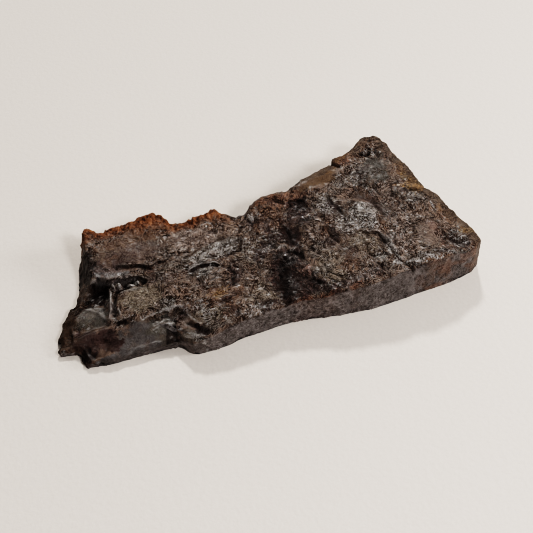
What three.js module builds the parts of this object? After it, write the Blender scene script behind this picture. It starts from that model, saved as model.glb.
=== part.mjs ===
// A weathered slab of stony-iron meteorite, lying on its flat side.
// One natural piece, so one closed solid.  Millimetres, +X along the slab, +Z up.
// The origin is the middle of the slab's underside.
import * as THREE from 'three';
import { mergeVertices } from 'three/addons/utils/BufferGeometryUtils.js';

// ---- driving dimensions, mm ----
const slab = { length: 76.2, width: 35.7, height: 8.2 };
const brokenEdge = { drop: 0.5, slope: 1.2 };      // how far the worn rim falls away, and how steeply
const wallHollow = 0.25;                           // how far the broken side walls are dished
const reliefReach = 1.9;                           // how far one spot height is felt around it
const segments = { along: 62, across: 30, up: 3 }; // facets of the solid
const weld = 1e-4;                                 // points closer than this are one point

const finish = { color: 0x3a2f2a, roughness: 0.45, metalness: 0.35 };

// ---- the outline seen from above, four sides, [x, y] ----
// Front: from the foot of the thin end, past the notch and the prow, to the thick end.
const frontSide = [
  [-35.1, -8.8], [-30.9, -9.5], [-26.1, -9.4], [-21.8, -9.6], [-19.4, -9.7], [-18.4, -10.9],
  [-17.4, -12.2], [-16.0, -12.4], [-14.3, -12.5], [-11.2, -12.3], [-8.2, -11.7], [-4.2, -11.5],
  [-1.0, -11.3], [2.2, -11.4], [6.2, -12.2], [10.0, -12.8], [15.0, -13.3], [20.0, -13.1],
  [25.0, -12.7], [29.5, -12.5], [33.0, -12.0], [35.5, -11.4], [37.1, -10.2],
];
// Back: from the rusty corner, along the crust, down to the waist and up to the tall corner.
const backSide = [
  [-29.4, 17.4], [-28.2, 17.9], [-26.6, 16.6], [-23.5, 16.8], [-19.1, 17.1], [-16.3, 17.1],
  [-14.7, 16.2], [-13.4, 14.2], [-10.1, 13.6], [-7.6, 14.1], [-4.9, 14.1], [-3.2, 13.1],
  [-1.6, 12.0], [0.0, 12.0], [1.5, 13.2], [2.8, 13.9], [6.1, 14.2], [8.7, 13.8], [10.8, 14.3],
  [12.3, 15.3], [15.5, 16.3], [19.2, 17.2], [20.0, 18.4], [23.7, 19.7], [26.0, 21.2],
  [28.1, 22.3], [29.1, 21.8], [30.2, 22.0],
];
// Thin end: from the foot, round the bay and the lobe, up to the rusty corner.
const thinSide = [
  [-35.1, -8.8], [-35.2, -6.9], [-35.9, -5.7], [-37.1, -5.2], [-38.2, -4.9], [-39.0, -4.2],
  [-38.4, -2.6], [-38.0, -0.3], [-37.2, 1.3], [-35.5, 3.0], [-34.0, 4.0], [-32.9, 5.4],
  [-32.3, 8.6], [-31.9, 10.9], [-31.3, 13.4], [-30.3, 15.2], [-30.0, 16.6], [-29.4, 17.4],
];
// Thick end: nearly straight, from the front corner to the tall back corner.
const thickSide = [
  [37.1, -10.2], [37.0, -8.3], [36.6, -5.6], [35.7, -3.2], [34.8, 0.3], [33.8, 3.6],
  [33.2, 5.2], [33.1, 8.3], [32.9, 11.6], [32.0, 15.5], [31.6, 18.8], [30.9, 21.2], [30.2, 22.0],
];

// ---- the wall of the thin end: at y, how high its foot stands and how steeply it climbs inwards ----
const thinWall = [
  [-9.0, 0.7, 1.2], [-6.0, 0.8, 1.0], [-4.0, 0.8, 0.75], [0.0, 0.9, 0.5], [3.0, 1.0, 0.6],
  [5.0, 1.0, 1.0], [8.0, 0.7, 1.2], [12.0, 0.7, 2.0], [15.5, 0.8, 5.0], [18.0, 1.0, 9.0],
];

// ---- spot heights of the broken upper face, [x, y, z] ----
const rustyRim = [
  [-28.2, 16.3, 5.7], [-24.0, 15.6, 5.3], [-20.0, 16.0, 5.6], [-16.2, 16.0, 6.1],
  [-12.6, 12.8, 5.2], [-9.0, 12.8, 5.3], [-5.6, 13.0, 5.8], [-1.5, 11.0, 4.9],
];
const smoothPanel = [
  [-27.0, 12.0, 4.8], [-21.0, 12.2, 5.0], [-16.0, 12.0, 5.1], [-27.0, 8.6, 4.3],
  [-21.0, 9.0, 4.7], [-16.0, 8.6, 4.9], [-11.0, 9.0, 5.1], [-6.0, 9.0, 5.2], [-2.0, 8.5, 5.2],
];
const innerLedge = [
  [-28.0, 6.6, 4.1], [-23.6, 6.4, 4.3], [-18.5, 5.2, 4.6], [-13.5, 5.0, 5.1], [-8.5, 5.2, 5.4],
  [-4.6, 5.0, 5.4],
];
const openCavity = [[-30.4, 3.6, 1.3], [-29.2, 4.3, 1.3], [-31.4, 1.9, 1.7], [-30.4, 7.2, 3.8]];
const lowBlock = [
  [-25.4, 2.4, 3.3], [-22.6, 2.4, 3.7], [-25.8, 0.0, 3.6], [-22.5, 0.2, 4.0], [-25.6, -2.2, 3.6],
  [-21.6, -2.4, 4.1], [-27.0, 4.6, 2.5], [-24.2, 4.7, 2.6],
];
const thinEndFacets = [
  [-30.4, -0.6, 2.6], [-32.8, 0.4, 2.2], [-34.4, -0.8, 2.0], [-31.4, -2.4, 2.6], [-34.4, -2.8, 1.9],
  [-36.6, -1.6, 1.5], [-38.0, -3.8, 0.9], [-32.0, -4.6, 2.4], [-36.4, -4.4, 1.1], [-33.8, -6.4, 1.9],
  [-34.2, -8.2, 1.2], [-31.4, -7.4, 1.5],
];
const frontRamp = [
  [-28.5, -4.8, 2.9], [-24.5, -5.0, 3.1], [-28.5, -8.4, 1.4], [-24.5, -8.4, 1.5], [-20.8, -5.6, 2.7],
  [-20.8, -8.5, 1.4], [-18.4, -6.8, 2.4], [-18.6, -9.6, 1.9],
];
const middle = [
  [-17.0, 1.0, 4.7], [-16.6, -3.6, 4.6], [-11.4, 1.0, 4.9], [-11.0, -5.0, 4.9], [-15.0, -7.8, 4.7],
  [-17.2, -11.2, 3.7], [-14.6, -11.0, 4.7], [-9.0, -10.4, 5.1], [-6.2, 0.4, 5.2], [-5.6, -5.4, 5.2],
  [-2.0, 2.6, 5.6], [-1.6, -4.0, 5.4], [-3.0, -10.0, 5.3],
];
const rise = [
  [1.6, 9.8, 5.9], [3.6, 5.6, 6.1], [2.2, 1.2, 5.8], [1.6, -4.6, 4.9], [2.6, -9.6, 5.6],
  [5.6, -7.0, 5.4], [6.8, 3.6, 6.0], [6.0, 12.0, 6.7], [9.2, 9.2, 6.3], [6.2, -2.4, 6.2],
];
const thickSlab = [
  [10.0, 4.0, 6.9], [10.4, -1.4, 6.7], [9.6, -8.4, 6.6], [13.8, 12.6, 7.1], [19.0, 14.8, 7.1],
  [15.2, 6.6, 6.7], [15.4, 0.4, 7.2], [15.4, -7.4, 7.1], [19.8, 2.6, 8.1], [20.2, -3.8, 7.2],
  [20.8, 10.4, 7.0], [23.4, 5.0, 6.8], [22.4, -9.0, 7.6], [25.6, -3.2, 7.4], [26.4, 11.6, 7.3],
  [26.0, 17.2, 6.9], [29.4, 20.0, 7.2], [30.6, 13.6, 7.2], [30.8, 7.2, 7.2], [30.4, 1.6, 7.8],
  [30.0, -5.2, 7.7], [33.2, -8.0, 6.8], [27.8, -11.0, 7.9], [35.0, -3.6, 6.9], [35.6, -8.8, 6.8],
];
const spotHeights = [
  ...rustyRim, ...smoothPanel, ...innerLedge, ...openCavity, ...lowBlock, ...thinEndFacets,
  ...frontRamp, ...middle, ...rise, ...thickSlab,
];

// ---- the open clefts and troughs: a route over the top, how wide and how deep ----
const clefts = [
  { route: [[-31.0, 5.4], [-28.0, 5.4], [-24.8, 5.0], [-22.2, 3.9]], width: 2.0, depth: 1.2 },
  { route: [[-13.4, 2.0], [-11.0, 2.5], [-8.4, 1.8]], width: 1.8, depth: 0.4 },
  { route: [[19.4, 9.6], [21.6, 7.0], [23.6, 4.0], [22.6, -0.6]], width: 2.2, depth: 0.6 },
  { route: [[2.4, -1.2], [1.2, -5.6], [0.3, -7.8], [0.8, -11.0]], width: 2.0, depth: 0.4 },
];

// Point at the fraction `t` of the length of a chain of straight runs.
function along(side, t) {
  const path = new THREE.CurvePath();
  for (let i = 1; i < side.length; i += 1) {
    path.add(new THREE.LineCurve(new THREE.Vector2(...side[i - 1]), new THREE.Vector2(...side[i])));
  }
  return path.getPoint(t);
}

// The side as equally spaced points, one for each division of the facet grid.
function divide(side, divisions) {
  return Array.from({ length: divisions + 1 }, (_, i) => along(side, i / divisions));
}

// Distance from (x, y) to a chain of straight runs.
function distanceTo(route, x, y) {
  const point = new THREE.Vector3(x, y, 0);
  const nearest = new THREE.Vector3();
  const run = new THREE.Line3();
  let best = Infinity;
  for (let i = 1; i < route.length; i += 1) {
    run.start.set(...route[i - 1], 0);
    run.end.set(...route[i], 0);
    run.closestPointToPoint(point, true, nearest);
    best = Math.min(best, nearest.distanceTo(point));
  }
  return best;
}

// Relief: the average of the spot heights, each weighted by a bell that falls with its distance.
function relief(x, y) {
  let total = 0;
  let weights = 0;
  for (const [spotX, spotY, spotZ] of spotHeights) {
    const squared = (x - spotX) ** 2 + (y - spotY) ** 2;
    const weight = Math.exp(-squared / (2 * reliefReach ** 2)) + 1e-9;
    total += weight * spotZ;
    weights += weight;
  }
  return total / weights;
}

// Foot height and slope of the thin end's wall at y, read between the rows of its table.
function thinWallAt(y) {
  const reached = thinWall.findIndex((row) => row[0] >= y);
  const above = reached < 0 ? thinWall.length - 1 : Math.max(1, reached);
  const [lowY, lowFoot, lowSlope] = thinWall[above - 1];
  const [highY, highFoot, highSlope] = thinWall[above];
  const t = THREE.MathUtils.clamp((y - lowY) / (highY - lowY), 0, 1);
  return {
    foot: THREE.MathUtils.lerp(lowFoot, highFoot, t),
    slope: THREE.MathUtils.lerp(lowSlope, highSlope, t),
  };
}

// Height of the upper face: the relief, cut by the clefts, worn away along the broken
// rims and planed down towards the thin end.
function topHeight(x, y) {
  let z = relief(x, y);
  for (const cleft of clefts) {
    const away = distanceTo(cleft.route, x, y) / (cleft.width / 2);
    z -= cleft.depth * Math.exp(-away * away / 2);
  }
  const rim = Math.min(...[frontSide, backSide, thickSide].map((side) => distanceTo(side, x, y)));
  z = Math.min(z, z - brokenEdge.drop + brokenEdge.slope * rim);
  const { foot, slope } = thinWallAt(y);
  return Math.min(z, foot + slope * distanceTo(thinSide, x, y));
}

// The solid is a finely divided block.  Each level of it is stretched between the four
// sides of the outline, its top is lifted to the relief and its walls are slightly dished.
function slabGeometry() {
  const { along: nu, across: nv, up } = segments;
  const front = divide(frontSide, nu);
  const back = divide(backSide, nu);
  const thin = divide(thinSide, nv);
  const thick = divide(thickSide, nv);
  const block = new THREE.BoxGeometry(1, 1, 1, nu, nv, up);
  const position = block.getAttribute('position');
  for (let i = 0; i < position.count; i += 1) {
    const u = position.getX(i) + 0.5;
    const v = position.getY(i) + 0.5;
    const level = position.getZ(i) + 0.5;
    const iu = Math.round(u * nu);
    const iv = Math.round(v * nv);
    const place = new THREE.Vector2()
      .addScaledVector(front[iu], 1 - v).addScaledVector(back[iu], v)
      .addScaledVector(thin[iv], 1 - u).addScaledVector(thick[iv], u)
      .addScaledVector(front[0], -(1 - u) * (1 - v)).addScaledVector(front[nu], -u * (1 - v))
      .addScaledVector(back[0], -(1 - u) * v).addScaledVector(back[nu], -u * v);
    const height = topHeight(place.x, place.y);
    const dish = wallHollow * Math.sin(Math.PI * level);
    const inwardX = u === 0 ? dish : u === 1 ? -dish : 0;
    const inwardY = v === 0 ? dish : v === 1 ? -dish : 0;
    position.setXYZ(i, place.x + inwardX, place.y + inwardY, height * level);
  }
  block.deleteAttribute('normal');
  block.deleteAttribute('uv');
  return mergeVertices(block, weld);
}

// Brings the shape to the driving sizes, with the middle of its underside at the origin.
function fitToSlab(geometry) {
  geometry.computeBoundingBox();
  const box = geometry.boundingBox;
  const size = box.getSize(new THREE.Vector3());
  const middleOfBox = box.getCenter(new THREE.Vector3());
  geometry.translate(-middleOfBox.x, -middleOfBox.y, -box.min.z);
  geometry.scale(slab.length / size.x, slab.width / size.y, slab.height / size.z);
  geometry.computeVertexNormals();
  return geometry;
}

const meteorite = new THREE.Mesh(
  fitToSlab(slabGeometry()),
  new THREE.MeshStandardMaterial({ ...finish, flatShading: true }),
);
meteorite.name = 'meteorite';

const part = new THREE.Group();
part.add(meteorite);

export default part;
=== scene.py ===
import math

import bpy
import numpy as np
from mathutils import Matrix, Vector


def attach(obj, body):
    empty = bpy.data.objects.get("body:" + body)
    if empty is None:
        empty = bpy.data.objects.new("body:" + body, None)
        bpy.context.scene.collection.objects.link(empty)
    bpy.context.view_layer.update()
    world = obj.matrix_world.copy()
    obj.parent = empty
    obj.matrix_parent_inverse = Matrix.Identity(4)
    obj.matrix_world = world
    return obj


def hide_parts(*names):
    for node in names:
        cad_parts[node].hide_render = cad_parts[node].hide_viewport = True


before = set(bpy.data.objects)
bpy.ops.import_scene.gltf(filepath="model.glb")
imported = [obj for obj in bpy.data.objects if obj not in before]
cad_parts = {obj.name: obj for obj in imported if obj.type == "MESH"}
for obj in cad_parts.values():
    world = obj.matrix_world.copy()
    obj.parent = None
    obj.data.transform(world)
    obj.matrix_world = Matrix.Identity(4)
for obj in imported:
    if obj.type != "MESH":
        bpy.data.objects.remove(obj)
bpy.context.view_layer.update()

millimetre = 0.001
print("stage: packed frame loaded")

mixers = [np.uint32(prime) for prime in (374761393, 668265263, 2246822519, 3266489917)]


# A whole number for each cell of a lattice: the cell's three indices and the seed, each times a large prime,
# added up and then mixed by shifting and multiplying.
def cellHash(ix, iy, iz, seed):
    salt = np.uint32((seed * 97 + 13) * int(mixers[3]) % 2 ** 32)
    mixed = (ix.astype(np.uint32) * mixers[0] + iy.astype(np.uint32) * mixers[1]
             + iz.astype(np.uint32) * mixers[2] + salt)
    mixed = (mixed ^ (mixed >> np.uint32(15))) * mixers[2]
    mixed = (mixed ^ (mixed >> np.uint32(13))) * mixers[3]
    return mixed ^ (mixed >> np.uint32(16))


# Three numbers from -1 to 1 out of one hash.
def hashVector(mixed):
    return [((mixed >> np.uint32(shift)) & np.uint32(1023)).astype(np.float64) / 511.5 - 1.0
            for shift in (0, 10, 20)]


# Smooth noise of about -1 to 1: each lattice corner has a random slope, and the eight ramps are blended
# with the curve 6t^5 - 15t^4 + 10t^3.
def smoothNoise(points, size, seed):
    scaled = points / size
    low = np.floor(scaled).astype(np.int64)
    part = scaled - low
    ease = part ** 3 * (part * (part * 6 - 15) + 10)
    total = np.zeros(len(points))
    for corner in range(8):
        step = np.array([corner & 1, corner >> 1 & 1, corner >> 2 & 1])
        slopes = hashVector(cellHash(*(low + step).T, seed))
        ramp = sum(slopes[k] * (part[:, k] - step[k]) for k in range(3))
        weight = np.prod(np.where(step == 1, ease, 1 - ease), axis=1)
        total += ramp * weight
    return total * 1.5


# Octaves of smooth noise, each finer by two and weaker by the gain.
def fractal(points, size, octaves, gain, seed):
    return sum(gain ** k * smoothNoise(points, size / 2 ** k, seed + k) for k in range(octaves))


# Nearest of the random seeds, one to a lattice cell: its distance in cells, the way from it to the point, and
# its hash.
def cells(points, size, seed):
    scaled = points / size
    low = np.floor(scaled).astype(np.int64)
    nearest = np.full(len(points), 9.0)
    away = np.zeros_like(points)
    owner = np.zeros(len(points), np.uint32)
    for index in range(27):
        step = np.array([index % 3, index // 3 % 3, index // 9]) - 1
        cell = low + step
        mixed = cellHash(*cell.T, seed)
        offset = scaled - cell - (np.stack(hashVector(mixed), 1) * 0.5 + 0.5)
        distance = np.sqrt((offset ** 2).sum(1))
        closer = distance < nearest
        nearest = np.where(closer, distance, nearest)
        away[closer] = offset[closer]
        owner[closer] = mixed[closer]
    return nearest, away, owner


# Broken facets: every cell is a plane with its own random tilt and its own small step.
def facets(points, size, seed, step=0.35):
    _, away, owner = cells(points, size, seed)
    tilt = hashVector(cellHash(owner, owner, owner, seed + 5))
    return sum(tilt[k] * away[:, k] for k in range(3)) + step * hashVector(owner)[1]


# A curve that climbs from 0 at the first number to 1 at the second, flat at both ends.
def smoothStep(low, high, value):
    t = np.clip((value - low) / (high - low), 0, 1)
    return t * t * (3 - 2 * t)


# A hump of height 1 at the middle that falls away on both sides over the spread.
def hump(value, middle, spread):
    return np.exp(-((value - middle) / spread) ** 2)


# What a user would change on the slab's shape.  Lengths in millimetres.
slab = {
    "columns": 400, "rows": 176, "wallRows": 18, "underStep": 4,  # cells along, across, down; merged below
    "rimDrop": 0.5, "rimSlope": 1.2,  # how far the worn rim drops and how steeply it comes back up
    "reliefReach": 1.9,  # spread of each spot height
    "wobble": 0.3, "wobbleSize": 2.2,  # the push that bends the routes
    "warp": 1.1, "warpSize": 2.8,  # the push that bends the hackle
    "hackleSizes": (2.4, 1.2, 0.75), "hackleHeights": (0.12, 0.12, 0.08),
    "lumpMiddle": 0.7,  # the lumps' middle level, as a share
    "broadSwell": 0.2, "broadSwellSize": 5.5, "fineSwell": 0.08, "fineSwellSize": 2.4,
    "facetHeight": 0.05, "facetSize": 1.1,
    "crackDepth": 0.18, "crackSize": 2.8, "wrinkleSize": 1.5,
    "wallSwell": 0.2, "wallSwellSize": 2.6, "chipHeight": 0.06, "chipSize": 1.5, "wallHackle": 0.05,
    "crustHeight": 0.42, "crustSize": 2.0, "poreDepth": 0.16, "poreSize": 0.6,
    "nickDepth": 0.35, "nickSize": 1.6,  # nicks along the foot of the walls
    "thinEndRough": 0.3, "underShare": 0.3,  # share of the fine relief that the underside gets
    "proudBlur": (7.0, 8.0),  # spreads in cells, along and across
}

# The wall of the thin end, by y: how high its foot stands and how steeply it climbs inwards.
thinWall = np.array([
    (-9.0, 0.7, 1.2), (-6.0, 0.8, 1.0), (-4.0, 0.8, 0.75), (0.0, 0.9, 0.5), (3.0, 1.0, 0.6),
    (5.0, 1.0, 1.0), (8.0, 0.7, 1.2), (12.0, 0.7, 2.0), (15.5, 0.8, 5.0), (17.5, 1.0, 9.0),
])

# The outline from above: front from the thin end's foot past the notch and the prow, back from the rusty
# corner past the waist to the tall corner, and the two ends.
frontSide = [
    (-35.1, -8.8), (-30.9, -9.5), (-26.1, -9.4), (-21.8, -9.6), (-19.4, -9.7), (-18.4, -10.9),
    (-17.4, -12.2), (-16.0, -12.4), (-14.3, -12.5), (-11.2, -12.3), (-8.2, -11.7), (-4.2, -11.5),
    (-1.0, -11.3), (2.2, -11.4), (6.2, -12.2), (10.0, -12.8), (15.0, -13.3), (20.0, -13.1), (25.0, -12.7),
    (29.5, -12.5), (33.0, -12.0), (35.5, -11.4), (37.1, -10.2),
]
backSide = [
    (-29.4, 17.4), (-28.2, 17.9), (-26.6, 16.6), (-23.5, 16.8), (-19.1, 17.1), (-16.3, 17.1),
    (-14.5, 16.3), (-13.3, 14.5), (-10.1, 13.95), (-7.6, 14.4), (-4.9, 14.4), (-3.2, 13.2), (-1.6, 12.0),
    (0.0, 12.0), (1.5, 13.2), (2.8, 13.9), (6.1, 14.2), (8.7, 13.8), (10.8, 14.3), (12.3, 15.3),
    (15.5, 16.3), (19.2, 17.2), (20.0, 18.4), (23.7, 19.7), (26.0, 21.2), (28.1, 22.3), (29.1, 21.8),
    (30.2, 22.0),
]
thinSide = [
    (-35.1, -8.8), (-35.2, -7.4), (-35.5, -6.2), (-36.3, -5.4), (-37.4, -5.3), (-38.2, -5.1),
    (-39.0, -4.5), (-38.4, -3.6), (-38.1, -2.7), (-38.4, -1.9), (-37.7, -0.8), (-37.0, 0.3), (-37.1, 1.2),
    (-36.0, 2.3), (-34.9, 3.5), (-34.0, 4.4), (-33.2, 5.6), (-32.8, 6.5), (-32.3, 8.6), (-31.9, 10.9),
    (-31.3, 13.4), (-30.3, 15.2), (-30.0, 16.6), (-29.4, 17.4),
]
thickSide = [
    (37.1, -10.2), (37.1, -8.3), (36.8, -5.6), (36.0, -3.2), (34.9, 0.3), (33.8, 3.6), (33.2, 5.2),
    (33.1, 8.3), (32.9, 11.6), (32.0, 15.5), (31.6, 18.8), (30.9, 21.2), (30.2, 22.0),
]

# Spot heights of the broken upper face: x, y, z.
spotHeights = np.array([
    # the rusty rim
    (-28.2, 16.3, 5.7), (-24.0, 15.6, 5.3), (-20.0, 16.0, 5.6), (-16.2, 16.0, 6.1),
    (-12.6, 12.8, 5.2), (-9.0, 12.8, 5.3), (-5.6, 13.0, 5.8), (-1.5, 11.0, 4.9),
    # the smooth panel below it
    (-27.0, 12.0, 4.8), (-21.0, 12.2, 5.0), (-16.0, 12.0, 5.1), (-27.0, 8.6, 4.3),
    (-21.0, 9.0, 4.7), (-16.0, 8.6, 4.9), (-11.0, 9.0, 5.1), (-6.0, 9.0, 5.2), (-2.0, 8.5, 5.2),
    # the ledge
    (-28.0, 6.6, 4.1), (-23.6, 6.4, 4.3), (-18.5, 5.2, 4.6), (-13.5, 5.0, 5.1), (-8.5, 5.2, 5.4),
    (-4.6, 5.0, 5.4),
    # the cavity that is open to the thin end
    (-30.4, 3.6, 1.3), (-29.2, 4.3, 1.3), (-31.4, 1.9, 1.7), (-30.4, 7.2, 3.8),
    # the low block
    (-25.4, 2.4, 3.3), (-22.6, 2.4, 3.7), (-25.8, 0.0, 3.6), (-22.5, 0.2, 4.0), (-25.6, -2.2, 3.6),
    (-21.6, -2.4, 4.1), (-27.0, 4.6, 2.5), (-24.2, 4.7, 2.6),
    # facets of the thin end
    (-30.4, -0.6, 2.6), (-32.8, 0.4, 2.2), (-34.4, -0.8, 2.0), (-31.4, -2.4, 2.6), (-34.4, -2.8, 1.9),
    (-36.6, -1.6, 1.5), (-38.0, -3.8, 0.9), (-32.0, -4.6, 2.4), (-36.4, -4.4, 1.1), (-33.8, -6.4, 1.9),
    (-34.2, -8.2, 1.2), (-31.4, -7.4, 1.5),
    # the ramp down to the front
    (-28.5, -4.8, 2.9), (-24.5, -5.0, 3.1), (-28.5, -8.4, 1.4), (-24.5, -8.4, 1.5), (-20.8, -5.6, 2.7),
    (-20.8, -8.5, 1.4), (-18.4, -6.8, 2.6), (-18.6, -9.6, 1.9), (-17.5, -7.4, 3.5),
    # the middle
    (-17.0, 1.0, 4.7), (-16.6, -3.6, 4.6), (-11.4, 1.0, 4.9), (-11.0, -5.0, 4.9), (-15.0, -7.8, 4.7),
    (-17.2, -11.2, 3.7), (-14.6, -11.0, 4.7), (-9.0, -10.4, 5.1), (-6.2, 0.4, 5.2), (-5.6, -5.4, 5.2),
    (-2.0, 2.6, 5.6), (-1.6, -4.0, 5.4), (-3.0, -10.0, 5.3),
    # the rise to the thick slab
    (1.6, 9.8, 5.9), (3.6, 5.6, 6.1), (2.2, 1.2, 5.8), (1.6, -4.6, 4.9), (2.6, -9.6, 5.6),
    (5.6, -7.0, 5.4), (6.8, 3.6, 6.0), (6.0, 12.0, 6.7), (9.2, 9.2, 6.3), (6.2, -2.4, 6.2),
    # the thick slab
    (10.0, 4.0, 6.9), (10.4, -1.4, 6.7), (9.6, -8.4, 6.6), (13.8, 12.6, 7.1), (19.0, 14.8, 7.1),
    (15.2, 6.6, 6.7), (15.4, 0.4, 7.2), (15.4, -7.4, 7.1), (19.8, 2.6, 7.9), (20.2, -3.8, 7.2),
    (20.8, 10.4, 7.0), (23.4, 5.0, 6.8), (22.4, -9.0, 7.6), (25.6, -3.2, 7.4), (26.4, 11.6, 7.3),
    (26.0, 17.2, 6.9), (29.4, 20.0, 7.2), (30.6, 13.6, 7.2), (30.8, 7.2, 7.2), (30.4, 1.6, 7.8),
    (30.0, -5.2, 7.7), (33.2, -8.0, 6.8), (27.8, -11.0, 7.9), (35.0, -3.6, 6.9), (35.6, -8.8, 6.8),
])

# Scarps: small cliffs whose low side lies to the right of the route.  Deepest at the cliff's foot, the ground
# comes back up over the reach.  Depth, breadth of the cliff, reach, how dark the painted shade at the foot
# is, how pale the painted highlight on the lip is, how far the painted shade goes past the cliff, and the
# route.
scarps = [
    (1.2, 0.3, 1.4, 1.0, 0.5, 0.15, [(-31.9, 6.2), (-30.2, 6.3), (-28.0, 6.1), (-26.4, 6.1), (-24.6, 5.6),
        (-22.6, 5.1), (-21.2, 4.0), (-20.4, 3.0)]),
    (0.35, 0.25, 1.0, 0.8, 0.2, 0.4, [(-26.2, 8.3), (-24.2, 7.9), (-22.4, 7.5), (-21.0, 6.8), (-19.8, 5.9),
        (-18.4, 6.3), (-16.6, 6.0)]),
    (0.5, 0.18, 0.7, 1.0, 0.8, -0.05, [(-14.2, 1.8), (-12.8, 2.3), (-11.5, 2.6), (-10.0, 2.45), (-9.0, 2.1),
        (-8.0, 1.0)]),
    (0.5, 0.25, 0.8, 0.9, 0.4, 0.4, [(-28.6, -3.4), (-27.2, -3.6), (-25.6, -3.2)]),
    (0.25, 0.2, 1.6, 0.1, 1.0, 0.0, [(-24.6, -4.9), (-22.6, -4.4), (-20.2, -4.1), (-18.2, -4.3),
        (-16.4, -4.9)]),
    (0.2, 0.3, 1.0, 0.0, 0.7, 0.0, [(-16.6, -4.8), (-16.6, -6.4), (-16.1, -8.2), (-15.4, -9.4)]),
    (0.4, 0.4, 1.6, 0.5, 0.2, 0.4, [(-28.8, -3.0), (-31.0, -3.2), (-33.4, -3.1), (-35.4, -3.3),
        (-37.4, -4.0)]),
    (0.3, 0.3, 1.6, 0.6, 0.1, 0.4, [(8.0, 11.2), (9.4, 11.0), (10.8, 10.4), (11.2, 9.4)]),
    (0.15, 0.2, 0.8, 0.6, 0.4, 0.4, [(-5.8, 5.0), (-4.6, 5.5), (-3.2, 5.9), (-2.8, 5.4), (-3.4, 4.2),
        (-4.3, 2.6)]),
    (0.35, 0.16, 0.8, 0.7, 0.5, 0.1, [(17.6, -1.7), (18.6, -2.0), (19.4, -2.1), (20.4, -2.6), (20.5, -4.2),
        (20.7, -5.9)]),
]
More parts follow.
